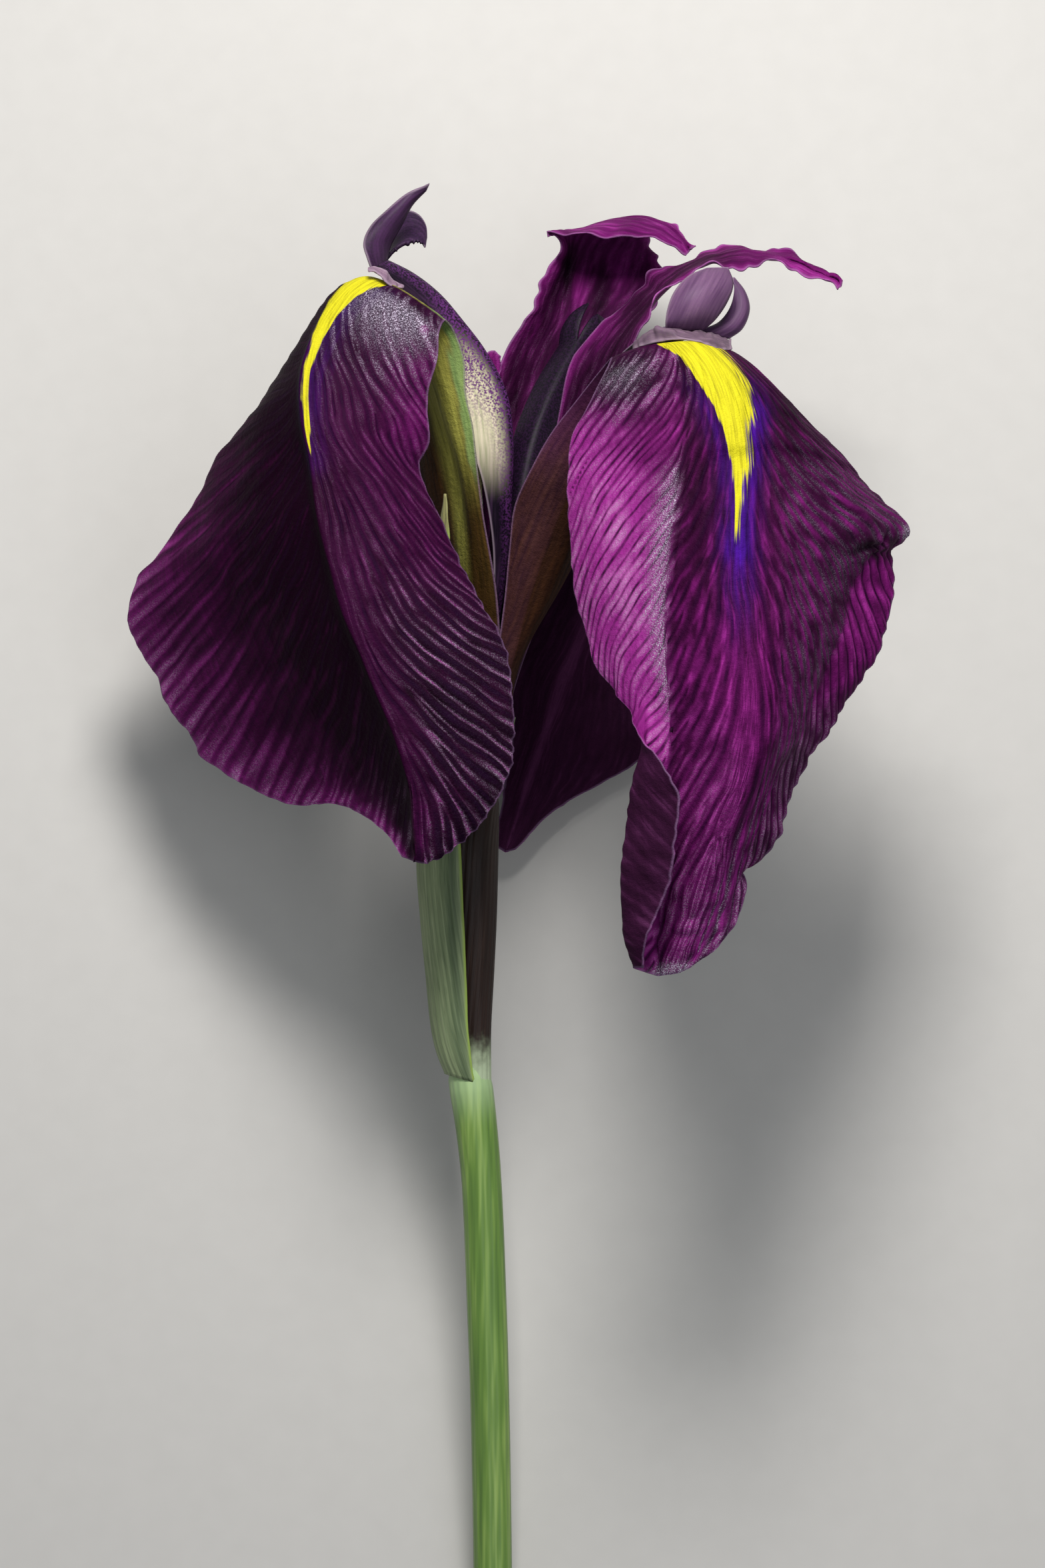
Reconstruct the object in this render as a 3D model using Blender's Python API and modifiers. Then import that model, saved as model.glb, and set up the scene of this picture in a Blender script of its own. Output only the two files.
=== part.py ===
"""A Japanese-type iris, cut with its stem and laid on its back.

Every point below is given in millimetres in the flower's own frame: X to the right, Y up along the
stem, Z towards the viewer, with zero in the fork between the two front hafts. The empty "flower" then tips
that frame so that the bloom rests on its back fall and on the cut end of its stem.
"""
import math

import bmesh
import bpy
import numpy as np

MM = 0.001

# How the flower lies: the head end is tipped up by this angle, and this shift puts the middle of
# the underside of its box at the world's zero.
TIP_ANGLE = math.radians(12.4)
REST_SHIFT = (-0.3, 33.4, 32.6)

PETAL_THICKNESS = 0.75
CREST_THICKNESS = 0.65
BRACT_THICKNESS = 0.7
SEAT_GAP = 0.4

STEM_CUT = -140.0
TUBE_TOP = (-4.3, -5.0)
TUBE_TOP_RADIUS = 4.4

# Rings on which the petals stand on the tube's flat top, from the outside in.
FALL_RING = 3.8
STANDARD_RING = 2.6
STAMEN_RING = 2.4
STYLE_RING = 1.25


def ring_point(radius, azimuth):
    """A point on the tube's top: the azimuth turns from +X towards the viewer."""
    turn = math.radians(azimuth)
    return (TUBE_TOP[0] + radius * math.cos(turn), TUBE_TOP[1] + SEAT_GAP, radius * math.sin(turn))


def smooth_path(points, parts=16):
    """A smooth curve through the points: cubic pieces whose slope at a point is the mean of its sides."""
    place = np.asarray(points, float)
    step = np.sqrt(np.linalg.norm(np.diff(place, axis=0), axis=1))[:, None]
    slope = np.diff(place, axis=0) / step
    tangent = np.empty_like(place)
    tangent[0], tangent[-1] = slope[0], slope[-1]
    tangent[1:-1] = (slope[:-1] * step[1:] + slope[1:] * step[:-1]) / (step[1:] + step[:-1])
    share = np.linspace(0.0, 1.0, parts, endpoint=False)[:, None, None]
    low, high = place[:-1], place[1:]
    pieces = (
        (2 * share**3 - 3 * share**2 + 1) * low
        + (share**3 - 2 * share**2 + share) * step * tangent[:-1]
        + (3 * share**2 - 2 * share**3) * high
        + (share**3 - share**2) * step * tangent[1:]
    )
    dense = pieces.transpose(1, 0, 2).reshape(-1, place.shape[1])
    return np.vstack([dense, place[-1:]])


def even_steps(path, count):
    """Points at even steps of length along a path."""
    length = np.concatenate([[0.0], np.cumsum(np.linalg.norm(np.diff(path, axis=0), axis=1))])
    wanted = np.linspace(0.0, length[-1], count)
    return np.stack([np.interp(wanted, length, path[:, axis]) for axis in range(path.shape[1])], axis=1)


def two_stretches(haft, blade, haft_rows, blade_rows, parts=16):
    """One smooth line read at even steps up the haft to its apex, then at even steps down the blade."""
    path = smooth_path(list(haft) + list(blade), parts)
    apex = (len(haft) - 1) * parts
    up = even_steps(path[: apex + 1], haft_rows + 1)
    down = even_steps(path[apex:], blade_rows + 1)
    return np.vstack([up, down[1:]])


def across(lines, places, columns):
    """A grid of points: each row runs smoothly across the lines, which lie at the given places."""
    net = np.stack(lines, axis=1)
    place = np.asarray(places, float)
    step = np.diff(place)[None, :, None]
    slope = np.diff(net, axis=1) / step
    tangent = np.empty_like(net)
    tangent[:, 0], tangent[:, -1] = slope[:, 0], slope[:, -1]
    tangent[:, 1:-1] = (slope[:, :-1] * step[:, 1:] + slope[:, 1:] * step[:, :-1]) / (
        step[:, 1:] + step[:, :-1]
    )
    wanted = np.linspace(place[0], place[-1], columns + 1)
    piece = np.clip(np.searchsorted(place, wanted, side="right") - 1, 0, len(place) - 2)
    width = (place[piece + 1] - place[piece])[None, :, None]
    share = ((wanted - place[piece]) / width[0, :, 0])[None, :, None]
    return (
        (2 * share**3 - 3 * share**2 + 1) * net[:, piece]
        + (share**3 - 2 * share**2 + share) * width * tangent[:, piece]
        + (3 * share**2 - 2 * share**3) * net[:, piece + 1]
        + (share**3 - share**2) * width * tangent[:, piece + 1]
    )


def between(line_a, line_b, share, lifts):
    """A line between two others, lifted by vectors that are spread evenly from base to tip."""
    stops = np.linspace(0.0, 1.0, len(lifts))
    rows = np.linspace(0.0, 1.0, len(line_a))
    lift = np.stack([np.interp(rows, stops, [v[axis] for v in lifts]) for axis in range(3)], axis=1)
    return line_a * (1 - share) + line_b * share + lift


def surface_normals(grid):
    """Unit normals of a grid of points, from its slopes along and across."""
    along = np.gradient(grid, axis=0)
    over = np.gradient(grid, axis=1)
    normal = np.cross(along, over)
    return normal / np.maximum(np.linalg.norm(normal, axis=2, keepdims=True), 1e-9)


def ruffled(grid, first_row, waves, height, phase=0.0):
    """The grid with its margins waved: a sine along the petal, growing from the middle to the edges."""
    rows, columns = grid.shape[:2]
    along = np.clip((np.arange(rows) - first_row) / (rows - 1 - first_row), 0.0, 1.0)
    fade = np.sin(np.pi * along) ** 0.5
    side = np.linspace(-1.0, 1.0, columns)
    edge = np.clip((np.abs(side) - 0.45) / 0.55, 0.0, 1.0) ** 2
    turn = 2 * np.pi * waves * along[:, None] + phase + 1.7 * (side[None, :] > 0)
    wave = height * np.sin(turn) * fade[:, None] * edge[None, :]
    return grid + wave[:, :, None] * surface_normals(grid)


def material(name, colour, roughness):
    """A plain finish in the flower's colour, given as sRGB hex."""
    finish = bpy.data.materials.new(name)
    finish.use_nodes = True
    parts = [int(colour[i : i + 2], 16) / 255 for i in (1, 3, 5)]
    linear = [c / 12.92 if c <= 0.04045 else ((c + 0.055) / 1.055) ** 2.4 for c in parts]
    shader = finish.node_tree.nodes["Principled BSDF"]
    shader.inputs["Base Color"].default_value = (*linear, 1.0)
    shader.inputs["Roughness"].default_value = roughness
    return finish


def place_object(name, mesh, finish):
    """A named object in the flower's collection, carried by the empty."""
    mesh.materials.append(finish)
    mesh.shade_smooth()
    thing = bpy.data.objects.new(name, mesh)
    thing.parent = flower
    collection.objects.link(thing)
    return thing


def add_grid(bm, grid):
    """A flat grid whose corners are moved to the points of a petal."""
    rows, columns = grid.shape[:2]
    made = bmesh.ops.create_grid(bm, x_segments=columns - 1, y_segments=rows - 1, size=1.0)
    for vert in made["verts"]:
        column = round((vert.co.x + 1) / 2 * (columns - 1))
        row = round((vert.co.y + 1) / 2 * (rows - 1))
        vert.co = grid[row, column] * MM


def sheet(name, grids, thickness, finish):
    """One grown sheet of one or more joined grids, cut into triangles and given its thickness."""
    bm = bmesh.new()
    for grid in grids:
        add_grid(bm, grid)
    bmesh.ops.remove_doubles(bm, verts=bm.verts, dist=0.00001)
    bmesh.ops.recalc_face_normals(bm, faces=bm.faces)
    bmesh.ops.triangulate(bm, faces=bm.faces, quad_method="SHORT_EDGE")
    mesh = bpy.data.meshes.new(name)
    bm.to_mesh(mesh)
    bm.free()
    thing = place_object(name, mesh, finish)
    wall = thing.modifiers.new("thickness", "SOLIDIFY")
    wall.thickness = thickness * MM
    wall.offset = 0.0
    return thing


def rod(name, path, radii, finish, sides=2):
    """A round, tapering rod along a path, with filled ends, made a mesh with its ends welded on."""
    curve = bpy.data.curves.new(name, "CURVE")
    curve.dimensions = "3D"
    curve.bevel_depth = MM
    curve.bevel_resolution = sides
    curve.use_fill_caps = True
    spline = curve.splines.new("POLY")
    spline.points.add(len(path) - 1)
    for point, place, radius in zip(spline.points, path, radii):
        point.co = (*(np.asarray(place) * MM), 1.0)
        point.radius = radius
    guide = bpy.data.objects.new(name, curve)
    collection.objects.link(guide)
    bpy.context.view_layer.update()
    mesh = bpy.data.meshes.new_from_object(guide.evaluated_get(bpy.context.evaluated_depsgraph_get()))
    bpy.data.objects.remove(guide)
    bpy.data.curves.remove(curve)
    mesh.materials.clear()
    bm = bmesh.new()
    bm.from_mesh(mesh)
    bmesh.ops.remove_doubles(bm, verts=bm.verts, dist=0.00001)
    bmesh.ops.recalc_face_normals(bm, faces=bm.faces)
    bm.to_mesh(mesh)
    bm.free()
    mesh.name = name
    return place_object(name, mesh, finish)


for old in list(bpy.data.objects):
    bpy.data.objects.remove(old)

collection = bpy.data.collections.new("iris_flower")
bpy.context.scene.collection.children.link(collection)
flower = bpy.data.objects.new("flower", None)
flower.rotation_euler = (TIP_ANGLE, 0.0, 0.0)
flower.location = [value * MM for value in REST_SHIFT]
collection.objects.link(flower)

purple = material("magenta purple petal", "#6e2063", 0.6)
violet = material("greyed mauve style", "#7a5a80", 0.6)
green = material("grey green bract", "#5f7350", 0.6)
brown = material("dark purple bract", "#2a1518", 0.6)
stem_green = material("fresh green stem", "#6f9a4a", 0.5)
cream = material("cream anther", "#cdbf8a", 0.7)


# Stem: a round scape, a little thicker at its top, with a plain cut at its foot.
STEM_LINE = [
    (-2.9, STEM_CUT, 0.0),
    (-3.0, -124.9, 0.0),
    (-3.4, -101.7, 0.0),
    (-3.8, -89.1, 0.0),
    (-4.75, -70.2, 0.0),
    (-5.7, -62.8, 0.0),
    (-6.35, -57.6, 0.0),
    (-6.45, -55.8, 0.0),
]
STEM_RADII = [2.65, 2.68, 2.72, 2.78, 2.78, 2.9, 3.0, 3.05]
stem_path = smooth_path(STEM_LINE, 4)
rod("stem", stem_path, np.interp(stem_path[:, 1], [p[1] for p in STEM_LINE], STEM_RADII), stem_green, 3)

# Ovary and tube: a stalked, swollen ovary, then the tube that flares to its flat top.
TUBE_LINE = [
    (-6.45, -55.4, 0.0),
    (-6.7, -50.0, 0.0),
    (-7.0, -42.0, 0.0),
    (-7.2, -32.0, 0.0),
    (-6.9, -22.0, 0.0),
    (-5.8, -15.0, 0.0),
    (-4.7, -11.0, 0.0),
    (-4.3, -8.6, 0.0),
    (-4.3, -7.2, 0.0),
    (-4.3, -6.0, 0.0),
    (*TUBE_TOP, 0.0),
]
TUBE_RADII = [0.8, 1.3, 2.1, 2.7, 2.3, 1.9, 2.0, 2.6, 3.4, 4.2, TUBE_TOP_RADIUS]
tube_path = smooth_path(TUBE_LINE, 3)
tube_length = np.concatenate([[0.0], np.cumsum(np.linalg.norm(np.diff(tube_path, axis=0), axis=1))])
rod("ovary_tube", tube_path, np.interp(tube_length, tube_length[::3], TUBE_RADII), stem_green, 4)


def bract(name, heights, centres, radii, starts, ends, columns, finish, tuck=0.0):
    """A sheath round the tube: each row is an arc about its centre, between two azimuths.

    tuck draws the arc's two edges inwards, so that they slide under the other bract.
    """
    side = np.abs(np.linspace(-1.0, 1.0, columns + 1))[None, :]
    fold = np.clip((side - 0.5) / 0.3, 0.0, 1.0)
    rows = 24
    height = np.linspace(heights[0], heights[-1], rows + 1)
    centre = smooth_path(np.stack([heights, centres], axis=1))
    radius = smooth_path(np.stack([heights, radii], axis=1))
    start = smooth_path(np.stack([heights, starts], axis=1))
    end = smooth_path(np.stack([heights, ends], axis=1))
    share = np.linspace(0.0, 1.0, columns + 1)[None, :]
    low = np.interp(height, start[:, 0], start[:, 1])[:, None]
    high = np.interp(height, end[:, 0], end[:, 1])[:, None]
    azimuth = np.radians(low + (high - low) * share)
    reach = np.interp(height, radius[:, 0], radius[:, 1])[:, None] - tuck * fold
    middle = np.interp(height, centre[:, 0], centre[:, 1])[:, None]
    grid = np.stack(
        [
            middle + reach * np.cos(azimuth),
            np.broadcast_to(height[:, None], azimuth.shape),
            0.92 * reach * np.sin(azimuth),
        ],
        axis=2,
    )
    return sheet(name, [grid], BRACT_THICKNESS, finish)


# Outer bract: green, open on the right, long enough for its dry point to show beside the haft.
bract(
    "spathe_outer",
    [-55.2, -49.0, -41.4, -33.0, -25.0, -12.0, 0.0, 12.0, 20.0, 26.5],
    [-6.6, -7.0, -7.2, -7.5, -7.9, -7.4, -6.8, -6.4, -6.2, -6.0],
    [2.7, 3.55, 4.15, 4.85, 5.5, 5.6, 5.1, 4.6, 4.2, 4.1],
    [80, 82, 84, 85, 86, 98, 112, 126, 134, 142],
    [282, 282, 281, 280, 276, 262, 236, 202, 180, 166],
    12,
    green,
)

# Inner bract: dark, on the right, with its edges tucked under the outer one.
bract(
    "spathe_inner",
    [-54.6, -49.0, -41.4, -33.0, -25.0, -20.0, -16.0],
    [-6.6, -7.0, -7.2, -7.5, -7.9, -7.8, -7.6],
    [2.6, 3.5, 4.1, 4.8, 5.4, 5.4, 5.2],
    [-98, -98, -98, -98, -96, -92, -86],
    [104, 104, 104, 104, 100, 84, 56],
    14,
    brown,
    tuck=1.1,
)


# Left fall: it hangs at the left with its right page folded forward, in front of the bracts.
HAFT_ROWS = 12
BLADE_ROWS = 20

left_front = two_stretches(
    [ring_point(FALL_RING, 132), (-2.4, 3, 4.4), (-2.3, 11, 5.4), (-4.6, 24, 6.0), (-5.9, 31, 6.4),
     (-7.2, 38, 6.8), (-7.4, 44, 7.4), (-8.4, 49.2, 8.4), (-9.6, 50.7, 10.0)],
    [(-10.5, 49, 11.6), (-10.7, 45.5, 12.4), (-12.1, 40, 12.8), (-12.0, 33.5, 12.6),
     (-13.2, 30.5, 12.4), (-12.6, 27.5, 12.6), (-10.6, 23.5, 13.2), (-8.0, 17.2, 14.2),
     (-5.0, 11.8, 15.4), (-2.8, 7.6, 16.4), (-0.8, 3.0, 17.2), (-0.1, -1.5, 17.8), (0.1, -7, 18.2),
     (-0.6, -12.4, 18.6), (-2.6, -16.8, 19.2), (-5.2, -20.6, 19.8), (-8.2, -23.2, 20.6),
     (-10.8, -25.0, 21.4)],
    HAFT_ROWS,
    BLADE_ROWS,
)
left_rib = two_stretches(
    [ring_point(FALL_RING, 170), (-7.2, 4, 1.0), (-6.8, 12, 1.2), (-7.0, 20, 1.6), (-7.3, 26, 1.9), (-8.5, 32, 2.4),
     (-10.4, 38, 3.0), (-12.2, 44, 3.8), (-14.2, 49, 4.6), (-17.0, 54.0, 5.6), (-20.0, 56.7, 6.8)],
    [(-23.2, 55.5, 8.8), (-25.9, 52.5, 10.8), (-28.2, 48.5, 12.6), (-29.6, 43, 14.6),
     (-29.7, 37, 16.8), (-28.6, 31, 18.8), (-27.2, 22.5, 21.2), (-25.3, 15.1, 22.8),
     (-22.4, 6, 24.0), (-19.0, -2, 24.6), (-16.2, -8.5, 24.6), (-14.7, -14.5, 24.2),
     (-14.2, -20, 23.4), (-13.8, -25.3, 22.4)],
    HAFT_ROWS,
    BLADE_ROWS,
)
left_back = two_stretches(
    [ring_point(FALL_RING, 208), (-7.0, 4, -2.8), (-7.6, 12, -3.8), (-9.8, 20, -5.4), (-12.2, 27, -6.6),
     (-13.3, 35, -7.2), (-13.7, 42, -7.6), (-15.4, 49, -7.6), (-18.2, 52.6, -6.8), (-21.0, 53.6, -5.6)],
    [(-26.0, 52.3, -3.6), (-30.0, 47.2, -2.4), (-33.6, 42.4, -2.6), (-37.0, 37.5, -3.2),
     (-41.0, 33.3, -4.6), (-44.0, 28.0, -6.4), (-47.6, 21.8, -8.6), (-50.3, 17.8, -10.0),
     (-53.3, 14.6, -11.6), (-54.6, 10.5, -12.2), (-53.9, 6.0, -11.8), (-50.6, 0.3, -10.2),
     (-48.6, -3.8, -8.6), (-46.0, -6.9, -7.2), (-44.4, -10.2, -6.0), (-40.8, -12.8, -4.0),
     (-36.4, -15.4, -0.6), (-30.7, -17.3, 4.0), (-25.0, -17.1, 9.5), (-20.4, -19.2, 14.5),
     (-17.2, -22.2, 18.5), (-15.6, -24.6, 21.0)],
    HAFT_ROWS,
    BLADE_ROWS,
)
left_front_page = between(
    left_rib, left_front, 0.5,
    [(0, 0, 0), (-1.0, 0, 0.8), (-1.4, 0, 0.8), (-1.0, 0.8, 1.2), (-0.4, 1.2, 3.6), (0, 0.4, 3.0),
     (0, 0, 2.2), (0, 0, 2.0), (0, 0, 1.6), (0, 0, 1.0), (0, -0.4, 0.4)],
)
left_back_page = between(
    left_rib, left_back, 0.5,
    [(0, 0, 0), (-0.6, 0, -0.2), (-0.6, 0, -0.2), (-0.4, 0.4, 0), (0, 0.4, 1.0), (0, 0, 1.0),
     (0, 0, -1.0), (0, 0, -2.0), (0, 0, -2.0), (0, 0, -1.0), (0, 0, 0)],
)
left_net = across(
    [left_front, left_front_page, left_rib, left_back_page, left_back], [0, 0.22, 0.42, 0.7, 1], 14
)
sheet("fall_left", [ruffled(left_net, HAFT_ROWS, 4.5, 0.6)], PETAL_THICKNESS, purple)


# Right fall: the one nearest to the viewer. Its right margin is folded back, and in its lower third
# the left margin rolls forward over the face and shows its dull underside.
right_left = two_stretches(
    [ring_point(FALL_RING, 88), (-2.6, 3, 5.2), (-1.4, 11, 6.2), (-0.6, 19, 6.8), (0.1, 24.7, 7.8),
     (2.7, 30.4, 9.6), (5.2, 34.8, 11.2), (8.8, 39.4, 13.4), (12.0, 43.4, 15.8), (13.6, 45.2, 17.8)],
    [(12.2, 42, 19.2), (9.9, 37.6, 19.8), (8.0, 34.0, 20.2), (7.5, 28, 21.0), (7.8, 19.4, 22.5),
     (8.3, 13.1, 24.0), (9.8, 7.3, 26.0), (11.4, 2.2, 28.5), (13.9, -1.4, 32.0), (16.5, -4.8, 36.4),
     (16.9, -7.0, 40.2), (18.5, -9.2, 43.0), (20.9, -12.0, 44.4), (22.8, -15.4, 45.4),
     (22.8, -20.1, 45.8), (22.0, -25.1, 45.4), (21.0, -29.5, 44.6), (19.4, -33.6, 43.4),
     (18.2, -37.0, 42.4), (18.0, -39.9, 41.4)],
    HAFT_ROWS,
    BLADE_ROWS,
)
right_roll = two_stretches(
    [ring_point(FALL_RING, 78), (-1.5, 3, 5.2), (0.6, 12, 6.8), (2.4, 22, 8.4), (5.2, 29, 10.8),
     (8.8, 35.0, 13.2), (12.6, 40.4, 16.0), (16.0, 44.8, 19.0), (18.0, 46.6, 21.0)],
    [(17.6, 44, 23.4), (15.4, 38, 24.6), (13.2, 30, 26.0), (12.4, 20, 28.0), (12.9, 12, 30.0),
     (14.4, 5, 32.4), (16.6, -0.4, 35.8), (18.8, -5.0, 38.4), (18.2, -8.8, 39.6), (16.9, -12.8, 40.4),
     (15.9, -18.2, 40.8), (15.3, -24.5, 40.8), (15.2, -30.8, 40.4), (15.6, -36.2, 39.8),
     (16.7, -40.0, 39.4)],
    HAFT_ROWS,
    BLADE_ROWS,
)
right_shimmer = two_stretches(
    [ring_point(FALL_RING, 64), (-0.2, 3, 4.8), (3.0, 14, 7.0), (6.8, 24, 9.8), (10.4, 31.5, 13.0),
     (14.6, 38.5, 16.6), (18.4, 44.0, 20.4), (21.0, 47.0, 23.2)],
    [(23.0, 44.4, 27.4), (24.0, 38, 31.0), (23.6, 29, 34.6), (22.4, 20, 37.2), (21.4, 10, 38.8),
     (21.4, 3, 39.8), (21.8, -3, 40.2), (21.9, -8, 40.0), (21.4, -14, 39.4), (20.8, -20, 38.8),
     (20.4, -26, 38.2), (20.0, -32, 37.8), (19.6, -37, 37.4), (19.9, -41.1, 37.4)],
    HAFT_ROWS,
    BLADE_ROWS,
)
right_rib = two_stretches(
    [ring_point(FALL_RING, 50), (0.4, 3, 4.0), (5.0, 13, 6.4), (10.4, 26, 10.8), (14.6, 34, 14.8),
     (18.8, 40.8, 18.8), (22.0, 45.2, 22.0), (24.6, 47.2, 24.8)],
    [(28.3, 43.4, 29.4), (30.6, 36.5, 33.2), (31.4, 29, 36.2), (31.2, 21, 39.0), (31.2, 14.5, 40.8),
     (32.2, 8, 42.4), (32.8, 0, 43.6), (32.6, -7, 44.2), (31.4, -14, 44.0), (29.2, -19.5, 43.2),
     (27.1, -25, 41.8), (25.0, -32, 40.2), (21.8, -40.8, 38.2)],
    HAFT_ROWS,
    BLADE_ROWS,
)
right_far_page = two_stretches(
    [ring_point(FALL_RING, 38), (0.7, 3, 3.0), (6.2, 13.5, 4.8), (12.8, 27, 8.6), (17.4, 35, 12.2),
     (21.8, 41.6, 16.0), (25.2, 45.2, 19.0), (27.8, 46.6, 21.4)],
    [(33.2, 41.6, 27.2), (36.0, 34.5, 31.0), (38.2, 26, 34.0), (39.4, 18, 36.2), (39.4, 10, 38.2),
     (38.6, 2, 39.8), (37.6, -5, 41.0), (35.6, -11, 41.6), (33.2, -17, 41.8), (31.0, -22.5, 41.4),
     (29.2, -28, 40.2), (27.2, -33.8, 39.0), (23.8, -40.2, 38.2)],
    HAFT_ROWS,
    BLADE_ROWS,
)
right_fold = two_stretches(
    [ring_point(FALL_RING, 26), (0.8, 3, 1.8), (6.8, 14, 3.2), (14.4, 28.5, 6.4), (19.6, 36.6, 9.8),
     (24.6, 43.0, 13.8), (28.0, 45.6, 17.0), (30.4, 46.0, 19.0)],
    [(37.0, 39.6, 24.0), (41.6, 33, 26.6), (46.0, 26.4, 26.4), (49.6, 21.6, 23.4),
     (49.2, 17.6, 23.2), (47.0, 13.1, 25.2), (45.8, 8.1, 27.6), (43.6, 2.4, 30.6), (41.6, -2.6, 33.2),
     (39.4, -8.2, 35.6), (36.9, -12.4, 37.4), (34.8, -17.4, 38.6), (32.8, -22.6, 39.4),
     (31.0, -28.0, 38.6), (28.8, -34.5, 38.0), (25.8, -38.8, 38.0)],
    HAFT_ROWS,
    BLADE_ROWS,
)
right_edge = two_stretches(
    [ring_point(FALL_RING, 12), (0.7, 3, 0.6), (6.6, 14, 1.2), (14.6, 28, 3.4), (20.2, 36.6, 6.6),
     (26.0, 43.0, 10.8), (29.8, 45.2, 14.0), (32.4, 44.2, 16.4)],
    [(37.2, 40.4, 18.8), (41.0, 36.4, 19.2), (45.4, 32.3, 18.4), (49.8, 27.2, 16.4),
     (53.8, 23.5, 14.4), (55.4, 20.8, 13.8), (54.2, 17.6, 15.2), (53.0, 14, 17.4),
     (52.6, 10.2, 19.0), (51.6, 6.2, 20.8), (49.8, 2.0, 22.6), (46.6, -2.2, 24.6),
     (43.6, -7.2, 27.2), (40.8, -12.0, 29.6), (38.0, -17.6, 32.2), (36.4, -22.0, 34.0),
     (34.7, -24.9, 35.4), (33.0, -26.0, 36.4), (31.6, -26.2, 37.0), (32.3, -28.2, 37.0),
     (31.7, -31.2, 37.0), (30.2, -34.6, 37.2), (27.6, -37.6, 37.4)],
    HAFT_ROWS,
    BLADE_ROWS,
)
right_net = across(
    [right_left, right_roll, right_shimmer, right_rib, right_far_page, right_fold, right_edge],
    [0, 0.17, 0.34, 0.5, 0.66, 0.83, 1],
    18,
)
sheet("fall_right", [right_net], PETAL_THICKNESS, purple)


# Back fall: it hangs behind, and its blade is pressed nearly flat where the flower lies on it.
BACK_HAFT_ROWS = 10
BACK_BLADE_ROWS = 16

back_left = two_stretches(
    [ring_point(FALL_RING, 252), (-4.6, 4, -7.4), (-3.0, 18, -12.4), (0.2, 33, -19.0), (3.0, 40.5, -23.6)],
    [(-1.0, 37, -30.4), (-5.0, 29, -34.8), (-7.6, 20, -36.4), (-6.8, 11, -35.0), (-2.6, 3, -32.4),
     (-0.5, -4, -30.0), (-0.7, -11.5, -27.4), (-2.0, -18.0, -24.8), (-2.7, -23.2, -22.8)],
    BACK_HAFT_ROWS,
    BACK_BLADE_ROWS,
)
back_rib = two_stretches(
    [ring_point(FALL_RING, 290), (-0.8, 4, -8.0), (3.2, 18, -14.0), (7.4, 34, -21.6), (10.8, 43, -26.4)],
    [(13.6, 41, -31.6), (14.4, 33, -34.2), (13.6, 24, -34.8), (12.2, 16, -34.0), (10.2, 8.5, -32.8),
     (7.2, 1, -31.0), (4.6, -6.5, -29.0), (1.9, -14.5, -26.4), (-1.2, -24.0, -22.6)],
    BACK_HAFT_ROWS,
    BACK_BLADE_ROWS,
)
back_right = two_stretches(
    [ring_point(FALL_RING, 328), (1.6, 4, -5.8), (7.4, 18, -10.6), (13.6, 33, -17.4), (18.6, 41.5, -23.0)],
    [(26.6, 39, -29.4), (33.4, 31, -33.0), (36.6, 21, -34.0), (35.4, 11, -33.0), (31.0, 2, -31.2),
     (24.6, -5.6, -29.4), (17.4, -11.4, -28.0), (10.0, -15.5, -26.4), (4.4, -19.4, -24.6),
     (0.4, -23.6, -22.8)],
    BACK_HAFT_ROWS,
    BACK_BLADE_ROWS,
)
back_left_page = between(
    back_rib, back_left, 0.5,
    [(0, 0, 0), (0.2, 0, -0.8), (0.2, 0, -1.0), (0, 0.8, -1.4), (0, 0.6, -1.0), (0, 0, -0.4),
     (0, 0, 0.2), (0, 0, 0), (0, 0, -0.4), (0, 0, -0.2), (0, 0, 0)],
)
back_right_page = between(
    back_rib, back_right, 0.5,
    [(0, 0, 0), (0.2, 0, -0.8), (0.2, 0, -1.0), (0, 0.8, -1.4), (0, 0.6, -2.4), (0, 0, -3.3),
     (0, 0, -3.1), (0, 0, -1.6), (0, 0, -0.6), (0, 0, -0.2), (0, 0, 0)],
)
back_net = across(
    [back_left, back_left_page, back_rib, back_right_page, back_right], [0, 0.25, 0.5, 0.75, 1], 12
)
sheet("fall_back", [ruffled(back_net, BACK_HAFT_ROWS, 4.0, 0.6, 0.8)], PETAL_THICKNESS, purple)


def standard(name, lines, waves, phase, base_rows=10, top_rows=12, columns=6):
    """A small inner petal from its two margins and its rib; each line splits where it turns."""
    made = [two_stretches(foot, top, base_rows, top_rows) for foot, top in lines]
    places = np.linspace(0.0, 1.0, len(made))
    net = ruffled(across(made, places, columns), base_rows, waves, 0.5, phase)
    return sheet(name, [net], PETAL_THICKNESS, purple)


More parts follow.
